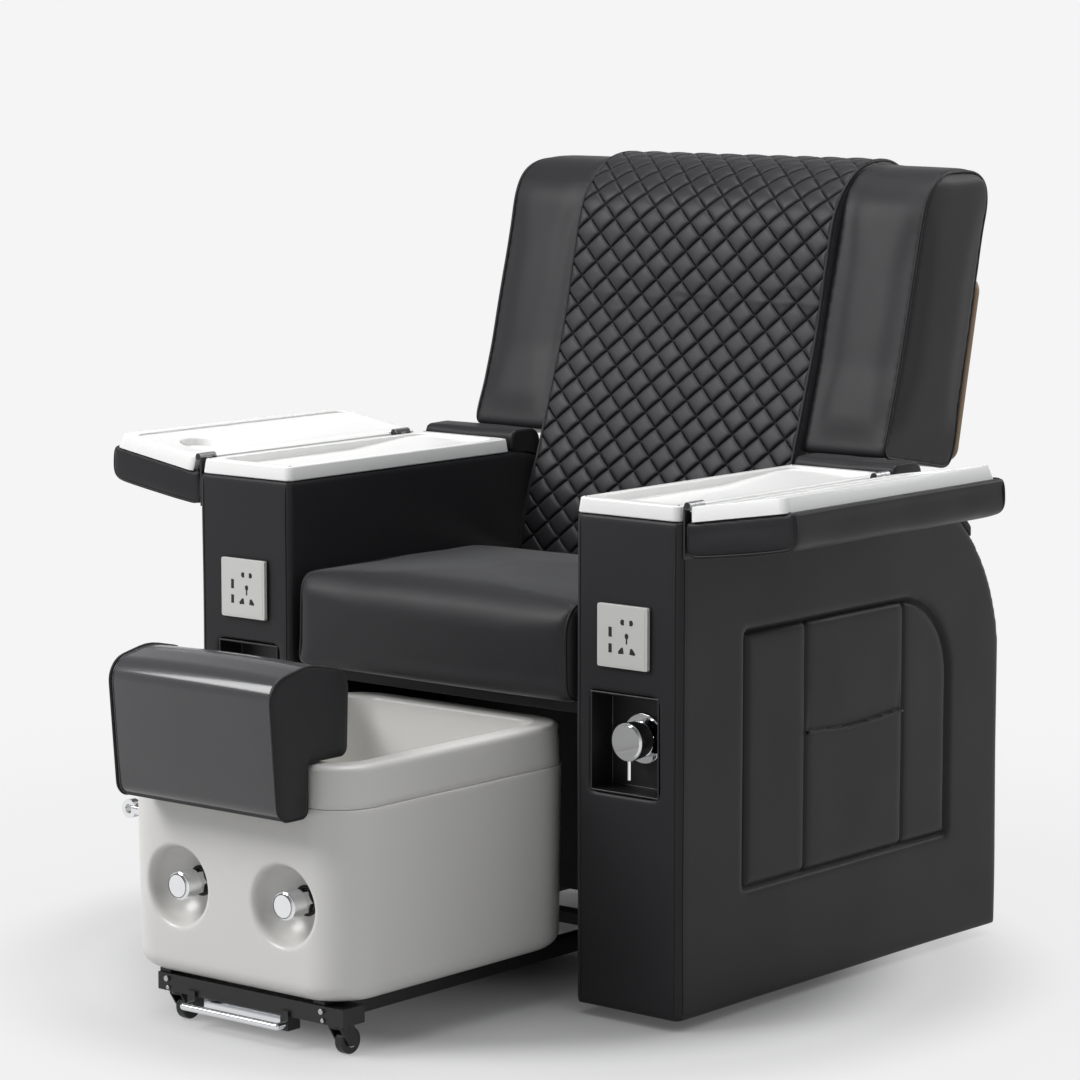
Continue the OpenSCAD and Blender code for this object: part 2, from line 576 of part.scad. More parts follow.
// ---- Recline actuator, from the rear cross tube up to the back frame's lug ----
act_base = [650, 70];
act_eye_half = 11;
act_pin_r = 5;
act_line = lug - act_base;
act_len = norm(act_line);
act_lean = atan2(-act_line[0], act_line[1]);
rod_r = 8;
module along_actuator() place() translate([0, act_base[0], act_base[1]]) rotate([act_lean, 0, 0]) children();
module actuator_pin() color(chrome) place()
    rod_x(-act_eye_half - 6, act_eye_half + 6, act_base[0], act_base[1], act_pin_r);
module actuator_housing() color("#3a3a3d") along_actuator() difference() {
    union() {
        rotate([0, 90, 0]) cylinder(r = 12, h = 2 * act_eye_half - 1, center = true);
        translate([-10, -10, 0]) cube([20, 20, 24]);
        translate([0, 0, 22]) cylinder(r = 23, h = 208);
    }
    rotate([0, 90, 0]) cylinder(r = act_pin_r + running, h = 40, center = true);
    translate([0, 0, 80]) cylinder(r = rod_r + running, h = 160);
}
module actuator_motor() color(black_steel) along_actuator() {
    difference() {
        translate([18, 0, 52]) rotate([0, 90, 0]) cylinder(r = 20, h = 86);
        translate([0, 0, 20]) cylinder(r = 23, h = 90);
    }
}
module actuator_rod() color(chrome) along_actuator() difference() {
    union() {
        translate([0, 0, 150]) cylinder(r = rod_r, h = act_len - 150 - 6);
        translate([0, 0, act_len]) rotate([0, 90, 0])
            cylinder(r = 11, h = 2 * act_eye_half - 2, center = true);
    }
    translate([0, 0, act_len]) rotate([0, 90, 0]) cylinder(r = act_pin_r + running, h = 40, center = true);
}

// ---- Foot basin ----
basin_y = [-405, -405 + basin_l];
basin_mid = (basin_y[0] + basin_y[1]) / 2;
basin_low = 72;
rim_low = rim_top - rim_band;
shell_t = 6;
corner_r = 65;
knob_x = 97;
knob_z = 196;
dish_depth = 50;
dish_sphere = (dish_r * dish_r + dish_depth * dish_depth) / (2 * dish_depth);
dish_y = basin_y[0] + dish_depth - dish_sphere;
module basin_block(inset, z0, z1, low_r) intersection() {
    translate([0, basin_mid, z0]) linear_extrude(z1 - z0)
        rrect(2 * (basin_half_w - inset), basin_l - 2 * inset, corner_r - inset);
    side_prism(-basin_half_w, basin_half_w) polygon(rounded([[basin_y[0] + inset, z0, low_r],
        [basin_y[1] - inset, z0, low_r], [basin_y[1] - inset, z1 + 1, 0], [basin_y[0] + inset, z1 + 1, 0]]));
    front_prism(basin_y[0] - 1, basin_y[1] + 1) polygon(rounded([
        [-basin_half_w + inset + 5, z0, low_r], [basin_half_w - inset - 5, z0, low_r],
        [basin_half_w - inset, z1 + 1, 0], [-basin_half_w + inset, z1 + 1, 0]]));
}
module basin_shell() color(stone) place() difference() {
    union() {
        difference() {
            basin_block(0, basin_low, rim_low, 25);
            basin_block(shell_t, basin_low + shell_t, rim_low + 1, 20);
        }
        intersection() {
            for (s = [-1, 1]) translate([s * knob_x, dish_y, knob_z]) sphere(dish_sphere + shell_t, $fn = 96);
            box([-basin_half_w, basin_y[0] + 1, basin_low], [basin_half_w, basin_y[1], rim_low]);
        }
    }
    for (s = [-1, 1]) {
        translate([s * knob_x, dish_y, knob_z]) sphere(dish_sphere, $fn = 96);
        rod_y(s * knob_x, basin_y[0], -330, knob_z, seat_spigot_r);
    }
}
// Open tub with its rolled rim; the front wall steps back low down to clear the knob hollows.
tub_t = 5;
tub_floor = 125;
tub_half = 170;
tub_y = [basin_y[0] + 38, basin_y[1] - 38];
module tub_space(grow, z1) intersection() {
    side_prism(-basin_half_w, basin_half_w) polygon(rounded([
        [tub_y[0] - grow, z1, 0], [tub_y[0] + 7 - grow, 285, 30], [tub_y[0] + 42 - grow, 258, 20],
        [tub_y[0] + 52 - grow, tub_floor - grow, 26], [tub_y[1] - 10 + grow, tub_floor - grow, 30],
        [tub_y[1] + grow, z1, 0]]));
    front_prism(basin_y[0], basin_y[1]) polygon(rounded([[-tub_half - grow, z1, 0],
        [-tub_half + 16 - grow, tub_floor - grow, 30], [tub_half - 16 + grow, tub_floor - grow, 30],
        [tub_half + grow, z1, 0]]));
    translate([0, basin_mid, 0]) linear_extrude(z1)
        rrect(2 * (tub_half + grow), tub_y[1] - tub_y[0] + 2 * grow, 42 + grow);
}
module basin_tub() color(stone) place() difference() {
    union() {
        translate([0, basin_mid, rim_low]) linear_extrude(rim_band - 5)
            rrect(2 * basin_half_w - 4, basin_l - 4, corner_r - 2);
        translate([0, basin_mid, rim_top - 5 - eps]) linear_extrude(5 + eps)
            rrect(2 * basin_half_w - 10, basin_l - 10, corner_r - 5);
        tub_space(tub_t, rim_low + 20);
    }
    difference() {
        translate([0, basin_mid, rim_low - 1]) linear_extrude(rim_band - 6)
            rrect(2 * basin_half_w - 16, basin_l - 16, corner_r - 8);
        tub_space(tub_t, rim_top);
    }
    tub_space(0, rim_top + 1);
    translate([0, basin_mid, tub_floor - 20]) cylinder(r = drain_r, h = 30);
}
drain_r = 20;
module basin_drain() color(chrome) place() translate([0, basin_mid, 0]) {
    translate([0, 0, tub_floor]) difference() {
        cylinder(r = 31, h = 2.5);
        for (a = [0:60:300]) rotate(a) translate([14, 0, -1]) cylinder(r = 3, h = 5);
    }
    translate([0, 0, 92]) cylinder(r = drain_r, h = tub_floor - 92);
}
// Ring for the hand shower's hose, on the left front corner.
holder = [-221, -366, 281];
module shower_holder() color(chrome) place() difference() {
    union() {
        rod_x(holder[0], -197, holder[1], holder[2], 8);
        rod_y(holder[0], holder[1] - 6, holder[1] + 6, holder[2], 13);
    }
    rod_y(holder[0], holder[1] - 9, holder[1] + 9, holder[2], 6.5);
    basin_block(0, basin_low, rim_low, 25);
}
// Hex-based seats of the two valves, with the spindles that the knobs turn on.
seat_spigot_r = 12;
spindle_r = 6;
module valve_seats() color(chrome) place() for (s = [-1, 1]) translate([s * knob_x, 0, knob_z]) {
    rod_y(0, -358, -342, 0, seat_spigot_r);
    translate([0, -358, 0]) rotate([90, 0, 0]) cylinder(r = 17, h = 16, $fn = 6);
    rod_y(0, -396, -374, 0, spindle_r);
}
module knob(side) place() sided(side) translate([knob_x, 0, knob_z]) difference() {
    union() {
        rod_y(0, -402, -376, 0, 19.5);
        rod_y(0, -405, -402, 0, 16.5);
    }
    rod_y(0, -397, -375, 0, spindle_r + running);
}
module left_knob() color(chrome) knob(-1);
module right_knob() color(chrome) knob(1);

// ---- Carriage ----
beam_y = [-388, -366];
caster_x = [-125, 168];
caster_y = -357;
crown_z = rail_z[0];
trail = 14;
bar_half = 86;
pull_at = [-406, 32];
hanger_y = [-392, -368];
module carriage_frame() color(black_steel) place() difference() {
    union() {
        box([-rail_x[1], beam_y[0], rail_z[0]], [rail_x[1], beam_y[1], rail_z[1]]);
        box([-rail_x[1], basin_y[1] - 40, rail_z[0]], [rail_x[1], basin_y[1] - 18, rail_z[1]]);
        box([rail_x[0], caster_y - 31, rail_z[0]], [caster_x[1] + 20, caster_y + 12, rail_z[1]]);
        for (s = [-1, 1]) sided(s) {
            box([rail_x[0], beam_y[0], rail_z[0]], [rail_x[1], rail_rear, rail_z[1]]);
            box([rail_x[0], beam_y[0] + 4, rail_z[1] - eps], [rail_x[1], beam_y[0] + 60, basin_low]);
            box([rail_x[0], basin_y[1] - 70, rail_z[1] - eps], [rail_x[1], basin_y[1] - 18, basin_low]);
            box([bar_half - 7, hanger_y[0], pull_at[1] - 8], [bar_half + 7, hanger_y[1], rail_z[0] + eps]);
            box([bar_half - 7, hanger_y[0], rail_z[0]], [bar_half + 7, beam_y[0] + eps, rail_z[0] + 8]);
        }
    }
    for (x = caster_x) translate([x, caster_y - trail, 0]) cylinder(r = 4 + running, h = 63);
}
module carriage_bolts() color(chrome) place() for (x = [-134, 151]) {
    rod_y(x, beam_y[0] - 4, beam_y[0], 60, 4);
    rod_y(x + 2, beam_y[0] - 3, beam_y[0], 48, 3);
}
// Chrome bar that runs back into its two hangers, and the flat plate between them.
module pull_bar() color(chrome) place() {
    union() {
        rod_x(-bar_half, bar_half, pull_at[0], pull_at[1], 5);
        for (s = [-1, 1]) {
            translate([s * bar_half, pull_at[0], pull_at[1]]) sphere(5);
            rod_y(s * bar_half, pull_at[0], hanger_y[0], pull_at[1], 5);
        }
    }
    box([-bar_half + 7, -383, 24], [bar_half - 7, -381, rail_z[0]]);
}
module caster_fork(side) place() translate([caster_x[side], caster_y, 0]) union() {
    translate([0, -trail, crown_z - 0.3 - 5]) cylinder(r = 13, h = 5);
    translate([0, -trail, crown_z - 6]) cylinder(r = 4, h = 24);
    for (s = [-1, 1]) sided(s) side_prism(9, 11.5) polygon(rounded([
        [-trail - 11, crown_z - 5.3, 0], [-8, caster_d / 2 - 6, 6], [9, caster_d / 2 - 6, 6],
        [9, caster_d / 2 + 6, 6], [-trail + 13, crown_z - 0.3, 0], [-trail - 11, crown_z - 0.3, 0]]));
    translate([0, -trail, crown_z - 2.8]) cube([23, 22, 5], center = true);
    rod_x(-10, 10, 0, caster_d / 2, 3);
}
module caster_wheel(side) place() translate([caster_x[side], caster_y, caster_d / 2]) difference() {
    rod_x(-8, 8, 0, 0, caster_d / 2);
    rod_x(-9, 9, 0, 0, 3 + running);
}
module caster_fork_fl() color(black_steel) caster_fork(0);
module caster_wheel_fl() color(black_steel) caster_wheel(0);
module caster_fork_fr() color(black_steel) caster_fork(1);
module caster_wheel_fr() color(black_steel) caster_wheel(1);

// ---- Footrest cushion hooked over the front rim ----
pillow_half = 149;
hook_z = rim_top + 0.3;
module footrest_pillow() color("#55555a") place() intersection() {
    side_prism(-pillow_half, pillow_half) polygon(rounded([[-457, 322, 18], [-480, 508, 28], [-404, 524, 90],
        [-329, 508, 28], [-333, hook_z + 3, 12], [-407.5, hook_z + 3, 3], [-408, 322, 12]]));
    front_prism(-500, -300) polygon(rounded([[-pillow_half + 2, 320, 6], [pillow_half - 2, 320, 6],
        [pillow_half + 2, 420, 500], [pillow_half - 2, 526, 8], [-pillow_half + 2, 526, 8],
        [-pillow_half - 2, 420, 500]]));
}
module footrest_hook() color(black_steel) place() union() {
    box([-70, -403.5, hook_z], [70, -345, hook_z + 3]);
    box([-60, -363, hook_z - 30], [60, -360, hook_z + 1]);
}

base_frame();
feet();
left_arm();
right_arm();
left_tray();
right_tray();
left_ledge_pad();
right_ledge_pad();
left_side_panel();
right_side_panel();
left_outlet();
right_outlet();
left_niche();
right_niche();
flap_hinges();
seat_rails();
seat_deck();
seat_cushion();
bulkhead();
rear_panel();
back_brackets();
back_pivot_bolts();
guide_channels();
mixer_escutcheon();
mixer_stem();
mixer_cap();
mixer_pin();
actuator_pin();
actuator_housing();
actuator_motor();
actuator_rod();
back_frame();
back_board();
massage_units();
quilted_pad();
left_wing();
right_wing();
rear_cover();
left_flap_tray();
left_flap_pad();
left_flap_leaf();
right_flap_tray();
right_flap_pad();
right_flap_leaf();
basin_shell();
basin_tub();
basin_drain();
shower_holder();
valve_seats();
left_knob();
right_knob();
carriage_frame();
carriage_bolts();
pull_bar();
caster_fork_fl();
caster_wheel_fl();
caster_fork_fr();
caster_wheel_fr();
footrest_pillow();
footrest_hook();
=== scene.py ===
import math
import bmesh
import bpy
import numpy as np
from mathutils import Vector, Matrix, noise
from mathutils.bvhtree import BVHTree


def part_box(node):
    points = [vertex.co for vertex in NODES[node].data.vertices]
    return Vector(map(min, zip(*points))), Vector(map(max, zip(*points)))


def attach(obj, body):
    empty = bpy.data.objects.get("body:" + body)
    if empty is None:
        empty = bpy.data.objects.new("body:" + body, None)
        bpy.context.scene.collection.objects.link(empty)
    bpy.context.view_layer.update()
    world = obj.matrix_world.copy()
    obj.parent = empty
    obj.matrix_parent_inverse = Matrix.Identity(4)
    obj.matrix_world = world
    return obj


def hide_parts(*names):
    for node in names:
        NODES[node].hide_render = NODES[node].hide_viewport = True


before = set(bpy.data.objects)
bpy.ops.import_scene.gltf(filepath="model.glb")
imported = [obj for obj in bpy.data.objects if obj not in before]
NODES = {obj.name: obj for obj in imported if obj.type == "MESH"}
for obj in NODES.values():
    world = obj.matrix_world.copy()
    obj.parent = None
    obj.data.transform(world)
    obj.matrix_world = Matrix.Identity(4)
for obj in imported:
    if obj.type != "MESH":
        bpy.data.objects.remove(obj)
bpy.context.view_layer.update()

# ---- Camera, floor and light ----
# A plain studio: a pale floor that runs out into an even pale wall, and four large soft lamps.
# The floor takes the chair's shadow near it. Mirrors and chrome see the pale wall low down, greying
# to a dim sky overhead.
def mesh_object(name, verts, faces):
    mesh = bpy.data.meshes.new(name)
    mesh.from_pydata([tuple(v) for v in verts], [], faces)
    mesh.update()
    obj = bpy.data.objects.new(name, mesh)
    bpy.context.scene.collection.objects.link(obj)
    return obj


def new_material(name):
    mat = bpy.data.materials.new(name)
    mat.use_nodes = True
    tree = mat.node_tree
    return mat, tree, tree.nodes["Principled BSDF"]


def object_coords(tree):
    return tree.nodes.new("ShaderNodeTexCoord").outputs["Object"]


def ranged(tree, value, low, high, from_low=0.2, from_high=0.8):
    node = tree.nodes.new("ShaderNodeMapRange")
    node.clamp = False
    node.inputs["From Min"].default_value = from_low
    node.inputs["From Max"].default_value = from_high
    node.inputs["To Min"].default_value = low
    node.inputs["To Max"].default_value = high
    tree.links.new(value, node.inputs["Value"])
    return node.outputs["Result"]


VIEW_WIDTH_PX = 1080.0
FOCAL_PX = 4049.0              # focal length in pixels of that width
SENSOR_MM = 36.0
PALE = 0.913                   # the studio's floor and wall as they are seen


def seen_rays(tree, camera):
    """1 for rays that mirror or pass through, and for the camera's own where asked, else 0."""
    path = tree.nodes.new("ShaderNodeLightPath")
    out = path.outputs["Is Glossy Ray"]
    for name in ("Is Transmission Ray",) + (("Is Camera Ray",) if camera else ()):
        most = tree.nodes.new("ShaderNodeMath")
        most.operation = "MAXIMUM"
        tree.links.new(out, most.inputs[0])
        tree.links.new(path.outputs[name], most.inputs[1])
        out = most.outputs["Value"]
    return out


def set_stage():
    scene = bpy.context.scene
    data = bpy.data.cameras.new("camera")
    data.sensor_width = SENSOR_MM
    data.lens = FOCAL_PX / VIEW_WIDTH_PX * SENSOR_MM
    data.clip_end = 60
    camera = bpy.data.objects.new("camera", data)
    scene.collection.objects.link(camera)
    camera.location = (3.683, -4.386, 1.389)
    camera.rotation_euler = (math.radians(82.3), 0.0, math.radians(39.56))
    scene.camera = camera

    floor = mesh_object("floor", [(-30, -30, 0), (30, -30, 0), (30, 30, 0), (-30, 30, 0)], [(0, 1, 2, 3)])
    mat, tree, shader = new_material("pale_floor")
    shader.inputs["Base Color"].default_value = (0.45, 0.45, 0.45, 1)
    shader.inputs["Roughness"].default_value = 0.6
    away = tree.nodes.new("ShaderNodeVectorMath")
    away.operation = "LENGTH"
    tree.links.new(object_coords(tree), away.inputs[0])
    reach = ranged(tree, away.outputs["Value"], 0.0, 1.0, 0.0, 2.3)
    fade = tree.nodes.new("ShaderNodeValToRGB")
    fade.color_ramp.interpolation = "EASE"
    for place, glow in ((0.19, 0.08), (0.27, 0.55), (0.36, 0.88)):
        fade.color_ramp.elements.new(place).color = (glow, glow, glow, 1)
    tree.links.new(reach, fade.inputs["Fac"])
    share = tree.nodes.new("ShaderNodeMath")
    share.operation = "MULTIPLY"
    tree.links.new(fade.outputs["Color"], share.inputs[0])
    tree.links.new(seen_rays(tree, True), share.inputs[1])
    glow = tree.nodes.new("ShaderNodeEmission")
    glow.inputs["Color"].default_value = (PALE, PALE, PALE, 1)
    blend = tree.nodes.new("ShaderNodeMixShader")
    tree.links.new(share.outputs["Value"], blend.inputs["Fac"])
    tree.links.new(shader.outputs["BSDF"], blend.inputs[1])
    tree.links.new(glow.outputs["Emission"], blend.inputs[2])
    tree.links.new(blend.outputs["Shader"], tree.nodes["Material Output"].inputs["Surface"])
    floor.data.materials.append(mat)

    world = bpy.data.worlds.new("studio")
    scene.world = world
    world.use_nodes = True
    tree = world.node_tree
    soft = tree.nodes["Background"]
    soft.inputs["Color"].default_value = (0.95, 0.97, 1.0, 1)
    soft.inputs["Strength"].default_value = 0.33
    up = tree.nodes.new("ShaderNodeSeparateXYZ")
    tree.links.new(tree.nodes.new("ShaderNodeTexCoord").outputs["Generated"], up.inputs["Vector"])
    mirrored = tree.nodes.new("ShaderNodeBackground")
    dimmer = ranged(tree, up.outputs["Z"], PALE, 0.2, 0.0, 0.6)
    dimmer.node.clamp = True
    tree.links.new(dimmer, mirrored.inputs["Strength"])
    seen = tree.nodes.new("ShaderNodeBackground")
    seen.inputs["Color"].default_value = (PALE, PALE, PALE, 1)
    out = soft.outputs["Background"]
    mirror_rays = seen_rays(tree, False)
    camera_rays = tree.nodes["Light Path"].outputs["Is Camera Ray"]
    for fac, shader in ((mirror_rays, mirrored), (camera_rays, seen)):
        mix = tree.nodes.new("ShaderNodeMixShader")
        tree.links.new(fac, mix.inputs["Fac"])
        tree.links.new(out, mix.inputs[1])
        tree.links.new(shader.outputs["Background"], mix.inputs[2])
        out = mix.outputs["Shader"]
    tree.links.new(out, tree.nodes["World Output"].inputs["Surface"])

    def area(name, place, aim, size, power, colour=(1, 1, 1)):
        light = bpy.data.lights.new(name, "AREA")
        light.shape = "RECTANGLE"
        light.size, light.size_y = size
        light.energy = power
        light.color = colour
        obj = bpy.data.objects.new(name, light)
        scene.collection.objects.link(obj)
        obj.location = place
        obj.rotation_euler = (Vector(aim) - Vector(place)).to_track_quat("-Z", "Y").to_euler()

    area("key", (-2.2, -3.0, 3.4), (0, 0, 0.6), (2.2, 2.2), 165)
    area("top", (0.2, 0.2, 4.2), (0, 0, 0.5), (3.0, 3.0), 115)
    area("fill", (3.8, -1.6, 1.6), (0, 0, 0.6), (1.6, 2.4), 6)
    area("rim", (1.6, 3.4, 2.6), (0, 0.4, 0.9), (2.0, 1.4), 30)
    scene.view_settings.view_transform = "Standard"


set_stage()

# ---- Seat cushion ----
# One block of foam in black embossed vinyl, rolled over at the front and sewn with a welt round
# each side cap. It lies loose on the seat deck between the armrests. Lengths are given in mm from
# the armrest fronts and from the ground, and turned into metres by at().
DEPTH_SHIFT = 0.173            # the armrest fronts lie this far ahead of the chair's middle
MM = 0.001


def at(x, y, z):
    """A point given in mm from the armrest fronts, as metres in the chair's own frame."""
    return Vector((x * MM, y * MM - DEPTH_SHIFT, z * MM))


def apply_modifiers(obj):
    """Turns the evaluated form into the object's own mesh."""
    graph = bpy.context.evaluated_depsgraph_get()
    made = bpy.data.meshes.new_from_object(obj.evaluated_get(graph))
    obj.modifiers.clear()
    obj.data = made
    return obj


def clean_copy(node, name):
    """A new object with the node's form, its doubled points joined and its flat faces whole."""
    bm = bmesh.new()
    bm.from_mesh(NODES[node].data)
    bmesh.ops.remove_doubles(bm, verts=bm.verts, dist=2e-5)
    bmesh.ops.dissolve_limit(bm, angle_limit=math.radians(0.6), verts=bm.verts, edges=bm.edges)
    mesh = bpy.data.meshes.new(name)
    bm.to_mesh(mesh)
    bm.free()
    obj = bpy.data.objects.new(name, mesh)
    bpy.context.scene.collection.objects.link(obj)
    return obj


def shade(obj, angle=None):
    """Smooth shading; with an angle, edges sharper than it stay crisp."""
    for face in obj.data.polygons:
        face.use_smooth = True
    if angle is not None:
        limit = math.radians(angle)
        bm = bmesh.new()
        bm.from_mesh(obj.data)
        for edge in bm.edges:
            if len(edge.link_faces) == 2 and edge.calc_face_angle(0) > limit:
                edge.smooth = False
        bm.to_mesh(obj.data)
        bm.free()


def finish_piece(obj, body, material):
    """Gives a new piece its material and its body."""
    obj.data.materials.clear()
    obj.data.materials.append(material)
    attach(obj, body)
    return obj


def noise_node(tree, coords, scale, detail=3.0, roughness=0.5):
    node = tree.nodes.new("ShaderNodeTexNoise")
    node.inputs["Scale"].default_value = scale
    node.inputs["Detail"].default_value = detail
    node.inputs["Roughness"].default_value = roughness
    tree.links.new(coords, node.inputs["Vector"])
    return node


def leather_group():
    """Embossed vinyl: a pebble grain, faint cloudiness of colour and rubbed gloss, as height and masks."""
    group = bpy.data.node_groups.new("embossed_vinyl", "ShaderNodeTree")
    group.interface.new_socket("Vector", in_out="INPUT", socket_type="NodeSocketVector")
    for name in ("Height", "Cloud", "Rub"):
        group.interface.new_socket(name, in_out="OUTPUT", socket_type="NodeSocketFloat")
    start = group.nodes.new("NodeGroupInput")
    end = group.nodes.new("NodeGroupOutput")
    cells = group.nodes.new("ShaderNodeTexVoronoi")
    cells.feature = "DISTANCE_TO_EDGE"
    cells.inputs["Scale"].default_value = 750.0
    warp = noise_node(group, start.outputs["Vector"], 260.0, 2.0)
    mix = group.nodes.new("ShaderNodeVectorMath")
    mix.operation = "MULTIPLY_ADD"
    mix.inputs[1].default_value = (0.0012, 0.0012, 0.0012)
    group.links.new(warp.outputs["Color"], mix.inputs[0])
    group.links.new(start.outputs["Vector"], mix.inputs[2])
    group.links.new(mix.outputs["Vector"], cells.inputs["Vector"])
    pebble = ranged(group, cells.outputs["Distance"], 0.0, 1.0, 0.0, 0.35)
    pebble.node.clamp = True
    group.links.new(pebble, end.inputs["Height"])
    cloud = noise_node(group, start.outputs["Vector"], 7.0, 4.0)
    rub = noise_node(group, start.outputs["Vector"], 9.0, 3.0, 0.45)
    group.links.new(cloud.outputs["Fac"], end.inputs["Cloud"])
    group.links.new(rub.outputs["Fac"], end.inputs["Rub"])
    return group


LEATHER = leather_group()


def vinyl(name, dark, light, gloss_low=0.42, gloss_high=0.5, grain=0.12, coat=0.0, shine=0.24, sheen=0.12):
    """Upholstery vinyl in two close tones, with grain in its bump and gloss."""
    mat, tree, shader = new_material(name)
    skin = tree.nodes.new("ShaderNodeGroup")
    skin.node_tree = LEATHER
    tree.links.new(object_coords(tree), skin.inputs["Vector"])
    tone = tree.nodes.new("ShaderNodeMix")
    tone.data_type = "RGBA"
    tone.inputs["A"].default_value = (*dark, 1)
    tone.inputs["B"].default_value = (*light, 1)
    tree.links.new(skin.outputs["Cloud"], tone.inputs["Factor"])
    tree.links.new(tone.outputs["Result"], shader.inputs["Base Color"])
    tree.links.new(ranged(tree, skin.outputs["Rub"], gloss_low, gloss_high), shader.inputs["Roughness"])
    bump = tree.nodes.new("ShaderNodeBump")
    bump.inputs["Strength"].default_value = grain
    bump.inputs["Distance"].default_value = 0.0003
    tree.links.new(skin.outputs["Height"], bump.inputs["Height"])
    tree.links.new(bump.outputs["Normal"], shader.inputs["Normal"])
    shader.inputs["Specular IOR Level"].default_value = shine
    shader.inputs["Coat Weight"].default_value = coat
    shader.inputs["Coat Roughness"].default_value = 0.12
    shader.inputs["Sheen Weight"].default_value = sheen
    shader.inputs["Sheen Roughness"].default_value = 0.32
    return mat


SEAT_VINYL = vinyl("seat_vinyl", (0.014, 0.014, 0.0158), (0.0185, 0.0185, 0.0208), sheen=0.45)
WELT = vinyl("welt_vinyl", (0.009, 0.009, 0.010), (0.013, 0.013, 0.014), 0.38, 0.46)
SIM_FRAMES = 20
EVENING = 22                   # rounds that spread each swelling over its neighbours


def remeshed(node, name, voxel, rounds):
    """The node's form as an even skin of small faces, its edges eased by smoothing."""
    obj = clean_copy(node, name)
    grid = obj.modifiers.new("grid", "REMESH")
    grid.mode = "VOXEL"
    grid.voxel_size = voxel
    ease = obj.modifiers.new("ease", "SMOOTH")
    ease.factor = 0.5
    ease.iterations = rounds
    apply_modifiers(obj)
    return obj


def puffed(obj, pressure, cap, hold=None):
    """Blows the skin up a little under cloth physics, so that it crowns as stuffed vinyl does."""
    rest = np.array([v.co for v in obj.data.vertices])
    cloth = obj.modifiers.new("cloth", "CLOTH")
    settings = cloth.settings
    settings.quality = 5
    settings.mass = 0.3
    settings.use_pressure = True
    settings.uniform_pressure_force = pressure
    settings.tension_stiffness = 22
    settings.compression_stiffness = 22
    settings.bending_stiffness = 1.2
    settings.effector_weights.gravity = 0
    cloth.point_cache.frame_start = 1
    cloth.point_cache.frame_end = SIM_FRAMES
    scene = bpy.context.scene
    for f in range(1, SIM_FRAMES + 1):
        scene.frame_set(f)
    graph = bpy.context.evaluated_depsgraph_get()
    blown = obj.evaluated_get(graph).to_mesh()
    now = np.array([v.co for v in blown.vertices])
    obj.evaluated_get(graph).to_mesh_clear()
    obj.modifiers.clear()
    scene.frame_set(1)
    move = now - rest
    size = np.linalg.norm(move, axis=1, keepdims=True)
    move *= cap * np.tanh(size / cap) / np.maximum(size, 1e-9)
    ends = np.array([e.vertices[:] for e in obj.data.edges])
    count = np.bincount(ends.ravel(), minlength=len(move))[:, None]
    for _ in range(EVENING):
        near = np.zeros_like(move)
        np.add.at(near, ends[:, 0], move[ends[:, 1]])
        np.add.at(near, ends[:, 1], move[ends[:, 0]])
        move = (move + near / count) / 2
    if hold is not None:
        move *= hold(rest)[:, None]
    obj.data.vertices.foreach_set("co", (rest + move).ravel())
    obj.data.update()
    return obj


def ripple(obj, size, amount, seed=0.0):
    """Low, wide unevenness over a padded face."""
    mesh = obj.data
    mesh.update()
    normals = [v.normal.copy() for v in mesh.vertices]
    for v, n in zip(mesh.vertices, normals):
        h = noise.noise(v.co / size + Vector((seed, seed * 0.7, -seed)))
        v.co += n * (h * amount)
    mesh.update()


def subdivided(obj, levels=1):
    sub = obj.modifiers.new("fine", "SUBSURF")
    sub.levels = levels
    sub.render_levels = levels
    apply_modifiers(obj)
    shade(obj)
    return obj


def smoothstep(t):
    t = np.clip(t, 0, 1)
    return t * t * (3 - 2 * t)


def rounded(corners, step=9.0):
    """A closed outline through [across, up, radius] corners, with round corners as arcs."""
    out = []
    n = len(corners)
    for i in range(n):
        a, b, c = (np.array(corners[(i + k) % n][:2], float) for k in (-1, 0, 1))
        r = corners[i][2]
        if r <= 0:
            out.append(tuple(b))
            continue
        u, v = (a - b) / np.linalg.norm(a - b), (c - b) / np.linalg.norm(c - b)
        half = math.acos(np.clip(u @ v, -1, 1)) / 2
        centre = b + (u + v) / np.linalg.norm(u + v) * r / math.sin(half)
        start, end = b + u * r / math.tan(half) - centre, b + v * r / math.tan(half) - centre
        a0 = math.atan2(start[1], start[0])
        turn = (math.atan2(end[1], end[0]) - a0 + math.pi) % (2 * math.pi) - math.pi
        steps = max(2, int(abs(math.degrees(turn)) / step) + 1)
        for k in range(steps + 1):
            t = a0 + turn * k / steps
            out.append((centre[0] + r * math.cos(t), centre[1] + r * math.sin(t)))
    return out


def resample(points, gap, closed=False):
    """The same path with its points an even distance apart."""
    pts = [np.array(p, float) for p in points]
    if closed:
        pts.append(pts[0])
    pts = np.array(pts)
    run = np.concatenate([[0], np.cumsum(np.linalg.norm(np.diff(pts, axis=0), axis=1))])
    count = max(2, int(round(run[-1] / gap)))
    s = np.linspace(0, run[-1], count + 1)
    if closed:
        s = s[:-1]
    return [np.array([np.interp(t, run, pts[:, k]) for k in range(pts.shape[1])]) for t in s]


def snapped(points, obj, lift=0.0, closed=False, rounds=6):
    """Moves each point to the nearest place on obj's surface, raised by lift, and evens the run."""
    bm = bmesh.new()
    bm.from_mesh(obj.data)
    tree = BVHTree.FromBMesh(bm)
    out = []
    for p in points:
        hit, normal, _, _ = tree.find_nearest(Vector(p))
        out.append(hit + normal * lift)
    bm.free()
    for _ in range(rounds):
        before, after = out[-1:] + out[:-1], out[1:] + out[:1]
        if not closed:
            before[0], after[-1] = out[0], out[-1]
        out = [(a + 2 * b + c) / 4 for a, b, c in zip(before, out, after)]
    return out


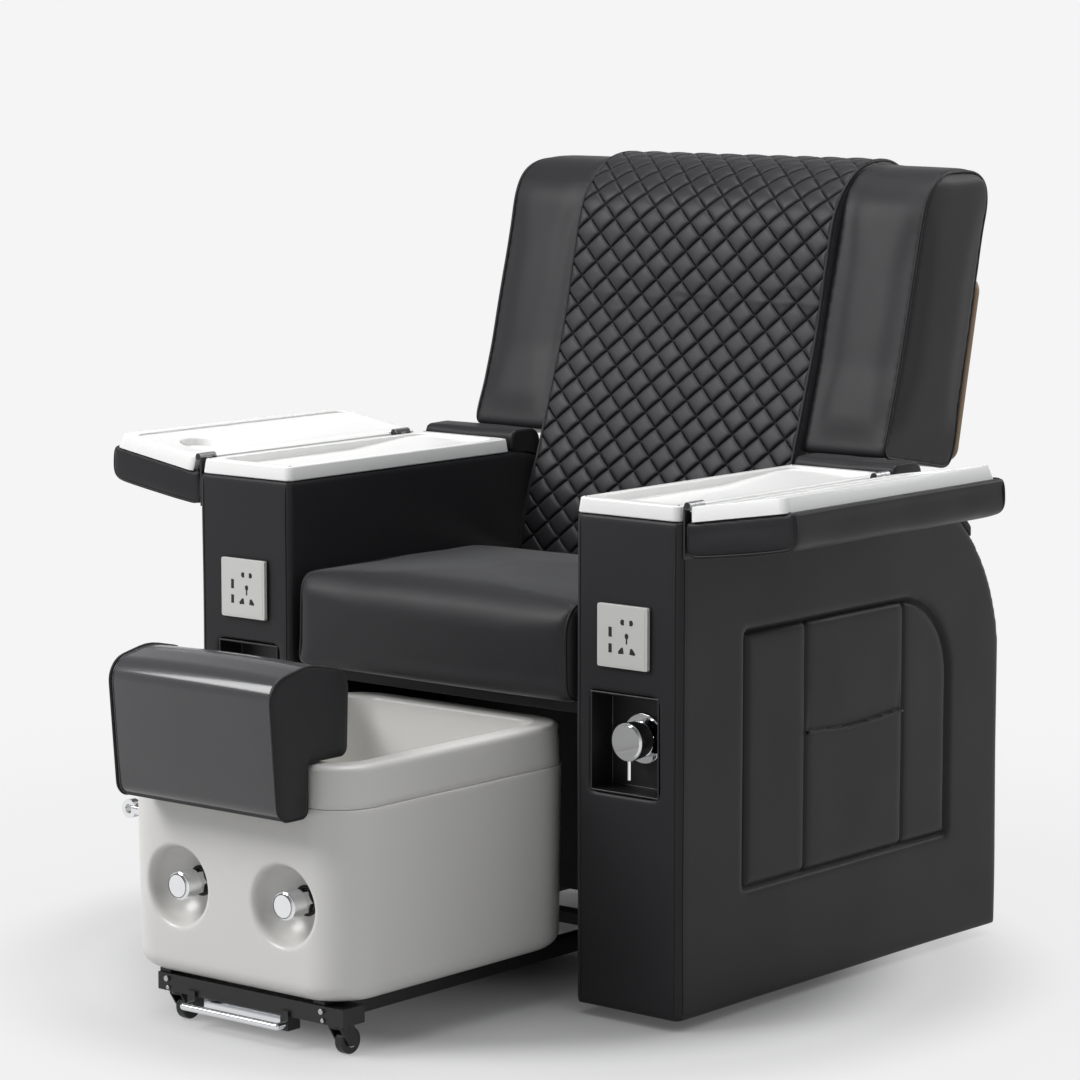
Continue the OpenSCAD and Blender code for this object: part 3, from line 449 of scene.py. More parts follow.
def outward(obj):
    """Turns every face of a closed skin to look outwards."""
    bm = bmesh.new()
    bm.from_mesh(obj.data)
    bmesh.ops.recalc_face_normals(bm, faces=bm.faces)
    bm.to_mesh(obj.data)
    bm.free()
    return obj


def tube(name, points, radius, closed=False, sides=8):
    """A round welt or wire along a list of points."""
    pts = [Vector(p) for p in points]
    n = len(pts)
    verts, faces = [], []
    side = None
    for i, p in enumerate(pts):
        before = pts[(i - 1) % n] if closed or i else pts[i]
        after = pts[(i + 1) % n] if closed or i < n - 1 else pts[i]
        along = (after - before).normalized()
        if side is None:
            side = along.orthogonal().normalized()
        side = (side - along * side.dot(along)).normalized()
        other = along.cross(side)
        for k in range(sides):
            a = 2 * math.pi * k / sides
            verts.append(p + radius * (math.cos(a) * side + math.sin(a) * other))
    for i in range(n if closed else n - 1):
        j = (i + 1) % n
        for k in range(sides):
            m = (k + 1) % sides
            faces.append((i * sides + k, j * sides + k, j * sides + m, i * sides + m))
    if not closed:
        faces.append(tuple(range(sides)))
        faces.append(tuple(reversed(range((n - 1) * sides, n * sides))))
    obj = outward(mesh_object(name, verts, faces))
    shade(obj)
    return obj


def joined(name, objects):
    """Several small parts as one piece."""
    bm = bmesh.new()
    for o in objects:
        bm.from_mesh(o.data)
        bpy.data.objects.remove(o)
    mesh = bpy.data.meshes.new(name)
    bm.to_mesh(mesh)
    bm.free()
    obj = bpy.data.objects.new(name, mesh)
    bpy.context.scene.collection.objects.link(obj)
    return obj


CUSHION_HALF = 251.0
CUSHION_OUTLINE = [(-4, 432, 18), (-8, 568, 50), (150, 579, 700),
                   (340, 568, 600), (478, 546, 28), (476, 432, 12)]
SIDE_WELT = 2.3 * MM


def seat_cushion():
    cushion = remeshed("seat_cushion", "seat_cushion_skin", 0.0075, 3)
    def hold(rest):
        under = smoothstep((rest[:, 2] - 0.432) / 0.03)
        rear = smoothstep((0.316 - rest[:, 1]) / 0.03)
        return under * rear
    puffed(cushion, 4.0, 0.004, hold)
    subdivided(cushion)
    ripple(cushion, 0.22, 0.0016, 3.0)
    finish_piece(cushion, "chair", SEAT_VINYL)
    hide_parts("seat_cushion")
    outline = rounded(CUSHION_OUTLINE)
    welts = []
    for side in (-1, 1):
        path = resample([at(side * CUSHION_HALF, y, z) for y, z in outline], 0.006, closed=True)
        welts.append(tube("w", snapped(path, cushion, 0.0006, True), SIDE_WELT, closed=True))
    welt = joined("seat_cushion_welts", welts)
    shade(welt)
    finish_piece(welt, "chair", WELT)


seat_cushion()

# ---- Quilted centre pad ----
# Thin foam and vinyl sewn in diamonds on a flat-bed machine, edged with a welt. It hangs over the
# top of the back, is stapled behind it, and widens a little at its foot to meet the armrests.
QUILT = vinyl("quilted_vinyl", (0.017, 0.017, 0.019), (0.025, 0.025, 0.028), 0.4, 0.48)
QUILT_KNOTS = [(494, 548), (508, 640), (538, 733), (566, 820), (592, 905), (612, 993), (636, 1076),
               (686, 1130), (752, 1146), (806, 1130), (823, 1082), (812, 1030), (801, 984)]
QUILT_HALF = 240.0
FLARE, FLARE_RUN = 10.0, 140.0         # the pad's foot widens to meet the armrests
QUILT_WIDE, QUILT_HIGH = 48.0, 46.0    # one diamond, across and along the pad
QUILT_DEEP = 6.4
QUILT_THICK = 28.0
SEAM_GAP = QUILT_WIDE * QUILT_HIGH / math.hypot(QUILT_WIDE, QUILT_HIGH)
CREASE_AT = 405.0                      # where the sitter's bend has creased the pad
CELL_STEPS = [0, 0.028, 0.065, 0.125, 0.215, 0.345, 0.5, 0.655, 0.785, 0.875, 0.935, 0.972, 1]


def spline_path(knots, per_span=24):
    pts = [np.array(k, float) for k in knots]
    pts = [pts[0]] + pts + [pts[-1]]
    out = []
    for i in range(1, len(pts) - 2):
        a, b, c, d = pts[i - 1:i + 3]
        for k in range(per_span):
            t = k / per_span
            out.append((2 * b + (c - a) * t + (2 * a - 5 * b + 4 * c - d) * t * t
                        + (3 * b - a - 3 * c + d) * t ** 3) / 2)
    out.append(pts[-1])
    return np.array(out)


class BackPath:
    """The pad's front surface in side view, read by distance along it."""

    def __init__(self):
        self.points = spline_path(QUILT_KNOTS)
        step = np.linalg.norm(np.diff(self.points, axis=0), axis=1)
        self.run = np.concatenate([[0], np.cumsum(step)])
        self.length = self.run[-1]

    def on(self, s):
        return np.array([np.interp(s, self.run, self.points[:, k]) for k in (0, 1)])

    def into(self, s, depth):
        d = self.on(min(self.length, s + 9)) - self.on(max(0, s - 9))
        d /= np.linalg.norm(d)
        return self.on(s) + depth * np.array([d[1], -d[0]])


BACK = BackPath()


def seam_dip(d):
    """How far the vinyl is pulled down at a distance d from a seam, as a share of the full depth."""
    return 0.6 * math.exp(-(d / 1.15) ** 2) + 0.3 * math.exp(-d / 3.0) + 0.1 * max(0.0, 1 - d / 16) ** 2


def flared(s):
    """How much wider the pad is at a distance s from its foot."""
    return 1 + FLARE / QUILT_HALF * max(0.0, 1 - s / FLARE_RUN)


def quilt_depth(p, q, x, s):
    """Depth of the quilted face below its highest points, with puckers and the crease band."""
    u, v = abs(p - round(p)) * SEAM_GAP, abs(q - round(q)) * SEAM_GAP
    dip = 1 - (1 - seam_dip(u)) * (1 - seam_dip(v))
    pucker = noise.noise(Vector((q * 9.0, 3.0, round(p)))) * math.exp(-u / 5.0)
    pucker += noise.noise(Vector((p * 9.0, 8.0, round(q)))) * math.exp(-v / 5.0)
    crease = math.exp(-((s - CREASE_AT - 14 * noise.noise(Vector((x * 0.008, 1, 1)))) / 24.0) ** 2)
    crease *= 1.1 * noise.noise(Vector((x * 0.018, s * 0.14, 5.0)))
    slack = 0.35 * noise.noise(Vector((x * 0.03, s * 0.03, 9.0)))
    return QUILT_DEEP * dip + 0.42 * pucker + crease + slack + 0.4


def quilted_pad():
    along = round(BACK.length / QUILT_HIGH)
    n = len(CELL_STEPS) - 1
    across_n, along_n = 2 * n * round(2 * QUILT_HALF / QUILT_WIDE), 2 * n * along

    def place(i):
        return i // n + CELL_STEPS[i % n]
    verts, index, faces = [], {}, []

    def vertex(i, j):
        """The corner on line i of one seam family and line j of the other, or None outside the pad."""
        if not (0 <= i + j <= across_n and 0 <= i - j <= along_n):
            return None
        if (i, j) not in index:
            p, q = place(i), place(j)
            x = -QUILT_HALF + (p + q) / 2 * QUILT_WIDE
            s = (p - q) / 2 / along * BACK.length
            edge = min(1.0, max(0.0, (QUILT_HALF - abs(x)) / 8.0))
            deep = quilt_depth(p, q, x, s) * edge + QUILT_DEEP * (1 - edge) ** 2
            y, z = BACK.into(s, max(0.0, deep))
            index[(i, j)] = len(verts)
            verts.append(at(x * flared(s), y, z))
        return index[(i, j)]
    for i in range((across_n + along_n) // 2 + 1):
        for j in range(max(-i, i - along_n) - 1, min(across_n - i, i) + 1):
            corners = [vertex(*c) for c in ((i, j), (i + 1, j), (i + 1, j + 1), (i, j + 1))]
            corners = [c for c in corners if c is not None]
            if len(corners) > 2:
                faces.append(corners)
    sides = []
    for start in (0, across_n):
        line = [vertex(i, start - i) for i in range(start // 2, (start + along_n) // 2 + 1)]
        sides.append([v for v in line if v is not None])
    unders = []
    for side, line in zip((-1, 1), sides):
        low = []
        for k in range(len(line)):
            s = BACK.length * k / (len(line) - 1)
            y, z = BACK.into(s, QUILT_THICK - 0.4)
            low.append(len(verts))
            verts.append(at(side * QUILT_HALF * flared(s), y, z))
        faces += [(line[k], line[k + 1], low[k + 1], low[k]) for k in range(len(line) - 1)]
        unders.append(low)
    a, b = unders
    faces += [(a[k], a[k + 1], b[k + 1], b[k]) for k in range(len(a) - 1)]
    for s_end, m in ((0, 0), (along_n, -1)):
        row = [vertex((k + s_end) // 2, (k - s_end) // 2) for k in range(0, across_n + 1, 2)]
        faces.append([v for v in row if v is not None] + [unders[1][m], unders[0][m]])
    pad = outward(mesh_object("quilted_pad_skin", verts, faces))
    shade(pad, 75)
    finish_piece(pad, "backrest", QUILT)
    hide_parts("quilted_pad")
    welts = []
    for side in (-1, 1):
        path = []
        for j in range(0, 301):
            s = BACK.length * j / 300
            y, z = BACK.into(s, QUILT_DEEP * 0.6)
            path.append(at(side * (QUILT_HALF * flared(s) - 3.2), y, z))
        welts.append(tube("w", path, 3.0 * MM))
    welt = joined("quilted_pad_welts", welts)
    shade(welt)
    finish_piece(welt, "backrest", WELT)


quilted_pad()

# ---- Wings of the back ----
# Foam blocks in plain black vinyl, one on each side of the quilted pad. The outer cap is a panel of
# its own, sewn in with a welt, and the wings are screwed to the back frame from behind.
CHARCOAL = vinyl("charcoal_vinyl", (0.0135, 0.0135, 0.0152), (0.018, 0.018, 0.0202))
WING_OUTLINE = [(552, 725.8, 6), (591, 850, 400), (665, 1138, 88), (826.6, 1136, 46), (730, 694, 18)]
BACK_HALF = 389.0
WELT_IN = 5.0


def wing(side, name):
    skin = remeshed(name, name + "_skin", 0.0055, 2)

    def hold(rest):
        return smoothstep((np.abs(rest[:, 0]) - 0.246) / 0.03) * smoothstep((rest[:, 2] - 0.735) / 0.05)
    puffed(skin, 4.0, 0.0035, hold)
    subdivided(skin)
    ripple(skin, 0.16, 0.0012, 7.0 + side)
    finish_piece(skin, "backrest", CHARCOAL)
    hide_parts(name)
    outline = rounded(WING_OUTLINE)
    path = resample([at(side * (BACK_HALF - WELT_IN), y, z) for y, z in outline], 0.006, closed=True)
    on_skin = snapped(path, skin, 0.0009, True)
    welt = tube(name + "_welt", on_skin, 2.6 * MM, closed=True)
    finish_piece(welt, "backrest", WELT)


wing(-1, "left_wing")
wing(1, "right_wing")

# ---- Rear cover ----
# A thin board with tan vinyl drawn tight over it and eased edges, tacked to the back of the wings.
def bevelled(node, name, width, material, body, segments=3, angle=35):
    """A rigid moulding or bracket: the node's form with its corners eased."""
    obj = clean_copy(node, name)
    bevel = obj.modifiers.new("ease", "BEVEL")
    bevel.width = width
    bevel.segments = segments
    bevel.limit_method = "ANGLE"
    bevel.angle_limit = math.radians(angle)
    apply_modifiers(obj)
    shade(obj, 40)
    flat = obj.modifiers.new("flat", "WEIGHTED_NORMAL")
    flat.keep_sharp = True
    apply_modifiers(obj)
    finish_piece(obj, body, material)
    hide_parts(node)
    return obj


TAN = vinyl("tan_vinyl", (0.24, 0.165, 0.105), (0.29, 0.205, 0.135), 0.42, 0.55)
bevelled("rear_cover", "rear_cover_skin", 0.0028, TAN, "backrest", 4)

# ---- Armrest boxes ----
# Board boxes wrapped in thin foam and vinyl, with a large round corner at the top of the rear.
# Sewn joints run down the front corners.
ARM_IN, ARM_OUT, ARM_TOP = 263.5, 444.0, 694.0
ARM_FOOT = 15.0


def arm(side, name):
    skin = remeshed(name, name + "_skin", 0.0052, 5)
    ripple(skin, 0.18, 0.0012, 20.0 + side)
    shade(skin)
    finish_piece(skin, "chair", CHARCOAL)
    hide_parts(name)
    seams = []
    for x, y in ((ARM_OUT - 9.0, 0.0), (ARM_OUT, 10.0), (ARM_IN + 9.0, 0.0)):
        path = resample([at(side * x, y, ARM_FOOT + 4), at(side * x, y, ARM_TOP - 2)], 0.006)
        seams.append(tube("s", snapped(path, skin, 0.0002), 1.1 * MM, sides=6))
    seam = joined(name + "_seams", seams)
    shade(seam)
    finish_piece(seam, "chair", WELT)


arm(-1, "left_arm")
arm(1, "right_arm")

# ---- Ledge pads ----
# Small foam pads in vinyl, stapled over the armrest behind each tray.
def ledge_pad(side, name):
    pad = remeshed(name, name + "_skin", 0.0035, 4)
    puffed(pad, 3.0, 0.002)
    subdivided(pad)
    ripple(pad, 0.05, 0.0014, 31.0 + side)
    finish_piece(pad, "chair", CHARCOAL)
    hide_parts(name)


ledge_pad(-1, "left_ledge_pad")
ledge_pad(1, "right_ledge_pad")

# ---- Side insert panels ----
# A foam panel set into the outer side of each box, with two sewn channels that part it in three
# and a slip pocket with a sagging, welted mouth on the middle part.
PANEL_Y, PANEL_Z, PANEL_ARC = (149.0, 638.0), (174.0, 528.0), 120.0
PANEL_SEAMS = (289.0, 526.0)
PANEL_BACK, PANEL_FACE = 432.2, 443.3
POCKET_TOP, POCKET_SAG = 372.0, 7.0


def panel_top(y):
    centre = PANEL_Y[1] - PANEL_ARC
    if y <= centre:
        return PANEL_Z[1]
    return PANEL_Z[1] - PANEL_ARC + math.sqrt(max(0.0, PANEL_ARC ** 2 - (y - centre) ** 2))


def pocket_line(y):
    t = (y - PANEL_SEAMS[0]) / (PANEL_SEAMS[1] - PANEL_SEAMS[0])
    return POCKET_TOP - POCKET_SAG * math.sin(math.pi * t)


def panel_height(y, z, top):
    """How far the panel's face stands out from its back."""
    edge = min(y - PANEL_Y[0], PANEL_Y[1] - y, z - PANEL_Z[0], top - z)
    centre = (PANEL_Y[1] - PANEL_ARC, PANEL_Z[1] - PANEL_ARC)
    if y > centre[0] and z > centre[1]:
        edge = min(edge, PANEL_ARC - math.hypot(y - centre[0], z - centre[1]))
    seam = min(abs(y - s) for s in PANEL_SEAMS)
    h = 1.2 + 9.3 * (1 - math.exp(-max(edge, 0) / 3.6))
    h -= 3.4 * math.exp(-(seam / 2.2) ** 2) + 1.3 * math.exp(-(seam / 9.0) ** 2)
    if PANEL_SEAMS[0] < y < PANEL_SEAMS[1]:
        drop = z - pocket_line(y)
        inside = min(1.0, seam / 10.0)
        if drop > 0:
            h -= inside * 3.4 * math.exp(-drop / 22.0)
        else:
            h += inside * 0.5 * math.exp(drop / 14.0)
    return h


def side_panel(side, name):
    cols, rows = 220, 170
    verts = []
    for i in range(cols + 1):
        y = PANEL_Y[0] + (PANEL_Y[1] - PANEL_Y[0]) * i / cols
        top = panel_top(y)
        for j in range(rows + 1):
            z = PANEL_Z[0] + (top - PANEL_Z[0]) * j / rows
            h = panel_height(y, z, top)
            h += 0.5 * noise.noise(Vector((y * 0.012, z * 0.012, side)))
            verts.append(at(side * (PANEL_BACK + h), y, z))
    w = rows + 1
    count = len(verts)
    for i in range(cols + 1):
        for j in (0, rows):
            v = verts[i * w + j].copy()
            v.x = side * PANEL_BACK * MM
            verts.append(v)
    faces = [(i * w + j, (i + 1) * w + j, (i + 1) * w + j + 1, i * w + j + 1)
             for i in range(cols) for j in range(rows)]
    for i in range(cols):
        a, b = count + 2 * i, count + 2 * (i + 1)
        faces.append((a, b, (i + 1) * w, i * w))
        faces.append((b + 1, a + 1, i * w + rows, (i + 1) * w + rows))
        faces.append((b, a, a + 1, b + 1))
    faces.append(tuple(range(0, w)) + (count + 1, count))
    end = cols * w
    faces.append(tuple(range(end + rows, end - 1, -1)) + (count + 2 * cols, count + 2 * cols + 1))
    panel = outward(mesh_object(name + "_skin", verts, faces))
    shade(panel, 75)
    finish_piece(panel, "chair", CHARCOAL)
    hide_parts(name)
    lip = []
    for k in range(61):
        y = PANEL_SEAMS[0] + 3 + (PANEL_SEAMS[1] - PANEL_SEAMS[0] - 6) * k / 60
        lip.append(at(side * (PANEL_FACE + 0.3), y, pocket_line(y) - 1.5))
    edge = tube(name + "_pocket_edge", lip, 2.3 * MM)
    finish_piece(edge, "chair", WELT)


side_panel(-1, "left_side_panel")
side_panel(1, "right_side_panel")

# ---- Trays ----
# Gloss white plastic mouldings, with a shallow well and sides that lean in. The fixed trays are
# held by a screw in each corner, and the folding trays by their hinges.
def moulding(name, colour, rough=0.22, coat=0.35, wave=0.012):
    """Gloss plastic or gel coat: slight orange peel, faint shade changes and soft scuffs."""
    mat, tree, shader = new_material(name)
    coords = object_coords(tree)
    tone = tree.nodes.new("ShaderNodeMix")
    tone.data_type = "RGBA"
    tone.inputs["A"].default_value = (*[c * 0.975 for c in colour], 1)
    tone.inputs["B"].default_value = (*colour, 1)
    tree.links.new(noise_node(tree, coords, 5.0, 3.0).outputs["Fac"], tone.inputs["Factor"])
    tree.links.new(tone.outputs["Result"], shader.inputs["Base Color"])
    scuff = noise_node(tree, coords, 9.0, 2.0, 0.4)
    gloss = ranged(tree, scuff.outputs["Fac"], rough * 0.94, rough * 1.08)
    tree.links.new(gloss, shader.inputs["Roughness"])
    peel = noise_node(tree, coords, 420.0, 2.0)
    bump = tree.nodes.new("ShaderNodeBump")
    bump.inputs["Strength"].default_value = wave
    bump.inputs["Distance"].default_value = 0.0005
    tree.links.new(peel.outputs["Fac"], bump.inputs["Height"])
    tree.links.new(bump.outputs["Normal"], shader.inputs["Normal"])
    shader.inputs["Coat Weight"].default_value = coat
    shader.inputs["Coat Roughness"].default_value = 0.08
    return mat


WHITE = moulding("white_moulding", (0.83, 0.83, 0.82), 0.26, 0.15)


def metal(name, colour, rough, brushed=0.0, metallic=1.0):
    """Bare, plated or coated metal with hairline or fine speckle variation."""
    mat, tree, shader = new_material(name)
    coords = object_coords(tree)
    stretch = tree.nodes.new("ShaderNodeMapping")
    stretch.inputs["Scale"].default_value = (1.0, 1.0 + 14 * brushed, 1.0 + 14 * brushed)
    tree.links.new(coords, stretch.inputs["Vector"])
    lines = noise_node(tree, stretch.outputs["Vector"], 180.0, 4.0)
    tree.links.new(ranged(tree, lines.outputs["Fac"], rough * 0.8, rough * 1.3), shader.inputs["Roughness"])
    tone = tree.nodes.new("ShaderNodeMix")
    tone.data_type = "RGBA"
    tone.inputs["A"].default_value = (*[c * 0.93 for c in colour], 1)
    tone.inputs["B"].default_value = (*colour, 1)
    tree.links.new(noise_node(tree, coords, 30.0, 3.0).outputs["Fac"], tone.inputs["Factor"])
    tree.links.new(tone.outputs["Result"], shader.inputs["Base Color"])
    shader.inputs["Metallic"].default_value = metallic
    bump = tree.nodes.new("ShaderNodeBump")
    bump.inputs["Strength"].default_value = 0.03 + 0.1 * brushed
    bump.inputs["Distance"].default_value = 0.0002
    tree.links.new(lines.outputs["Fac"], bump.inputs["Height"])
    tree.links.new(bump.outputs["Normal"], shader.inputs["Normal"])
    return mat


STEEL = metal("zinc_steel", (0.5, 0.5, 0.51), 0.34, 1.0)


def screw_heads(name, places, body):
    heads = []
    for x, y, z in places:
        bm = bmesh.new()
        bmesh.ops.create_cone(bm, cap_ends=True, segments=20, radius1=2.7 * MM, radius2=2.2 * MM,
                              depth=1.1 * MM)
        mesh = bpy.data.meshes.new("h")
        bmesh.ops.translate(bm, verts=bm.verts, vec=at(x, y, z))
        bm.to_mesh(mesh)
        bm.free()
        o = bpy.data.objects.new("h", mesh)
        bpy.context.scene.collection.objects.link(o)
        heads.append(o)
    piece = joined(name, heads)
    shade(piece, 30)
    return finish_piece(piece, body, STEEL)


TRAY_TOP = 714.5
FLAP_AXIS = (450.5, 716.0)
FLAP_TILT = math.radians(9)


def drafted_tray(node, name, body, side, tilted, draft):
    """A tray moulding whose sides lean in towards its top, with eased edges."""
    obj = clean_copy(node, name)
    lean = FLAP_TILT if tilted else 0.0
    pts = []
    for v in obj.data.vertices:
        x, z = side * v.co.x / MM - FLAP_AXIS[0], v.co.z / MM - FLAP_AXIS[1]
        y = (v.co.y + DEPTH_SHIFT) / MM
        pts.append((x * math.cos(lean) + z * math.sin(lean), y, -x * math.sin(lean) + z * math.cos(lean)))
    pts = np.array(pts)
    low, high = pts.min(axis=0), pts.max(axis=0)
    rise = (pts[:, 2] - low[2]) / (high[2] - low[2])
    hinge_edge = low[0] if tilted else (low[0] + high[0]) / 2
    pts[:, 0] = hinge_edge + (pts[:, 0] - hinge_edge) * (1 - draft * rise / (high[0] - hinge_edge))
    middle = (low[1] + high[1]) / 2
    pts[:, 1] = middle + (pts[:, 1] - middle) * (1 - draft * rise / (high[1] - middle))
    for v, (s, y, t) in zip(obj.data.vertices, pts):
        x = FLAP_AXIS[0] + s * math.cos(lean) - t * math.sin(lean)
        z = FLAP_AXIS[1] + s * math.sin(lean) + t * math.cos(lean)
        v.co = at(side * x, y, z)
    bevel = obj.modifiers.new("ease", "BEVEL")
    bevel.width = 0.0026
    bevel.segments = 4
    bevel.limit_method = "ANGLE"
    bevel.angle_limit = math.radians(35)
    apply_modifiers(obj)
    shade(obj, 40)
    finish_piece(obj, body, WHITE)
    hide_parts(node)


def trays():
    for side, word in ((-1, "left"), (1, "right")):
        drafted_tray(word + "_tray", word + "_tray_moulding", "chair", side, False, 2.5)
        corners = [(side * x, y, TRAY_TOP + 0.3) for x in (273, 431.5) for y in (11, 485)]
        screw_heads(word + "_tray_screws", corners, "chair")
        drafted_tray(word + "_flap_tray", word + "_flap_moulding", word + "_flap", side, True, 4.0)


trays()

# ---- Pads under the folding trays ----
# Foam in vinyl with a welted cap at each end, screwed to the underside of the tray. Folded in, the
# pad is the armrest.
FLAP_PAD = [(-5.3, -23.0, 3), (-12.6, -69.5, 12), (83.0, -73.0, 500), (170.0, -69.5, 17), (173.0, -23.0, 4)]


def flap_point(side, s, y, t):
    """A point s out along a folding tray and t up from its hinge pin."""
    x = FLAP_AXIS[0] + s * math.cos(FLAP_TILT) - t * math.sin(FLAP_TILT)
    z = FLAP_AXIS[1] + s * math.sin(FLAP_TILT) + t * math.cos(FLAP_TILT)
    return at(side * x, y, z)


def flap_pad(side, word):
    pad = remeshed(word + "_flap_pad", word + "_flap_pad_skin", 0.0045, 4)

    def hold(rest):
        out = np.abs(rest[:, 0]) * 1000 - FLAP_AXIS[0]
        up = rest[:, 2] * 1000 - FLAP_AXIS[1]
        t = -out * math.sin(FLAP_TILT) + up * math.cos(FLAP_TILT)
        return smoothstep((-26.0 - t) / 12.0)
    puffed(pad, 4.0, 0.003, hold)
    subdivided(pad)
    ripple(pad, 0.09, 0.0009, 41.0 + side)
    finish_piece(pad, word + "_flap", CHARCOAL)
    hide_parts(word + "_flap_pad")
    outline = rounded(FLAP_PAD)
    welts = []
    for y in (9.0, 498.0):
        path = resample([flap_point(side, s, y, t) for s, t in outline], 0.004, closed=True)
        welts.append(tube("w", snapped(path, pad, 0.0007, True), 2.0 * MM, closed=True))
    welt = joined(word + "_flap_pad_welts", welts)
    shade(welt)
    finish_piece(welt, word + "_flap", WELT)


flap_pad(-1, "left")
flap_pad(1, "right")

# ---- Foot basin ----
# A glass-fibre shell in pale stone gel coat with two round hollows for the valve knobs, and a tub
# whose rim caps the shell. The drain strainer is chromed and screwed into the tub's floor.
STONE = moulding("stone_gel_coat", (0.69, 0.68, 0.655), 0.3, 0.08)
BASIN_HALF, BASIN_FRONT, BASIN_REAR = 208.0, -405.0, 82.0
BASIN_LOW, RIM_LOW, RIM_TOP = 72.0, 333.0, 391.0
BASIN_CORNER = 65.0
KNOB_X, KNOB_Z, DISH_R, DISH_DEEP = 97.0, 196.0, 53.0, 50.0
PATCH_HALF, PATCH_STEPS = 66.0, 22
LIP_DEEP = 9.0
DISH_LIP = [(62, 0), (60.5, 0.12), (59, 0.5), (57.5, 1.1), (56, 2.2), (54.8, 3.8), (53.8, 6.2),
            (53, LIP_DEEP)]


def ring(half, front, rear, corner, z, per_corner=14, straight=44):
    """One level of a basin wall: a rounded rectangle, counter-clockwise from the front's middle."""
    def line(a, b, n):
        return [(a[0] + (b[0] - a[0]) * k / n, a[1] + (b[1] - a[1]) * k / n) for k in range(n)]

    def turn(cx, cy, start, n):
        return [(cx + corner * math.cos(start + math.pi / 2 * k / n),
                 cy + corner * math.sin(start + math.pi / 2 * k / n)) for k in range(n)]
    c = corner
    out = line((-half + c, front), (half - c, front), 2 * straight)
    out += turn(half - c, front + c, -math.pi / 2, per_corner)
    out += line((half, front + c), (half, rear - c), straight)
    out += turn(half - c, rear - c, 0, per_corner)
    out += line((half - c, rear), (-half + c, rear), straight)
    out += turn(-half + c, rear - c, math.pi / 2, per_corner)
    out += line((-half, rear - c), (-half, front + c), straight)
    out += turn(-half + c, front + c, math.pi, per_corner)
    return [(x, y, z) for x, y in out]


def loft(name, rings):
    """A skin through a stack of rings, closed by the last one."""
    n = len(rings[0])
    verts = [at(*p) for r in rings for p in r]
    faces = [(j * n + i, j * n + (i + 1) % n, (j + 1) * n + (i + 1) % n, (j + 1) * n + i)
             for j in range(len(rings) - 1) for i in range(n)]
    faces.append(tuple(range((len(rings) - 1) * n, len(rings) * n)))
    return mesh_object(name, verts, faces)


def shell_front(x, half, front, corner):
    """Depth of the shell's front face at x, on its flat or round its corner."""
    past = max(0.0, abs(x) - (half - corner))
    return front + corner - math.sqrt(corner ** 2 - past ** 2)


def shell_ring(half, front, rear, corner, z):
    """One level of the shell, with lines on its front that meet the edges of the two hollows."""
    cell = 2 * PATCH_HALF / PATCH_STEPS
    xs = [-KNOB_X - PATCH_HALF + cell * k for k in range(PATCH_STEPS)]
    gap = (2 * KNOB_X - 2 * PATCH_HALF) / 10
    xs += [-KNOB_X + PATCH_HALF + gap * k for k in range(10)]
    xs += [KNOB_X - PATCH_HALF + cell * k for k in range(PATCH_STEPS + 1)]
    out = [(x, shell_front(x, half, front, corner)) for x in xs]
    first = math.asin((xs[-1] - half + corner) / corner)

    def arc(cx, cy, a0, a1, n):
        angles = [a0 + (a1 - a0) * k / n for k in range(1, n + 1)]
        return [(cx + corner * math.cos(a), cy + corner * math.sin(a)) for a in angles]
    right, back, front_in = half - corner, rear - corner, front + corner
    out += arc(right, front_in, first - math.pi / 2, 0, 12)
    out += [(half, front_in + (back - front_in) * k / 20) for k in range(1, 21)]
    out += arc(right, back, 0, math.pi / 2, 12)
    out += [(right - 2 * right * k / 10, rear) for k in range(1, 11)]
    out += arc(-right, back, math.pi / 2, math.pi, 12)
    out += [(-half, back - (back - front_in) * k / 20) for k in range(1, 21)]
    out += arc(-right, front_in, math.pi, 1.5 * math.pi - first, 12)[:-1]
    return [(x, y, z) for x, y in out]


def shell_size(z, inset=0.0):
    draft = 5.0 * (RIM_LOW - z) / (RIM_LOW - BASIN_LOW)
    return BASIN_HALF - inset - draft, BASIN_FRONT + inset, BASIN_REAR - inset, BASIN_CORNER - inset * 0.4


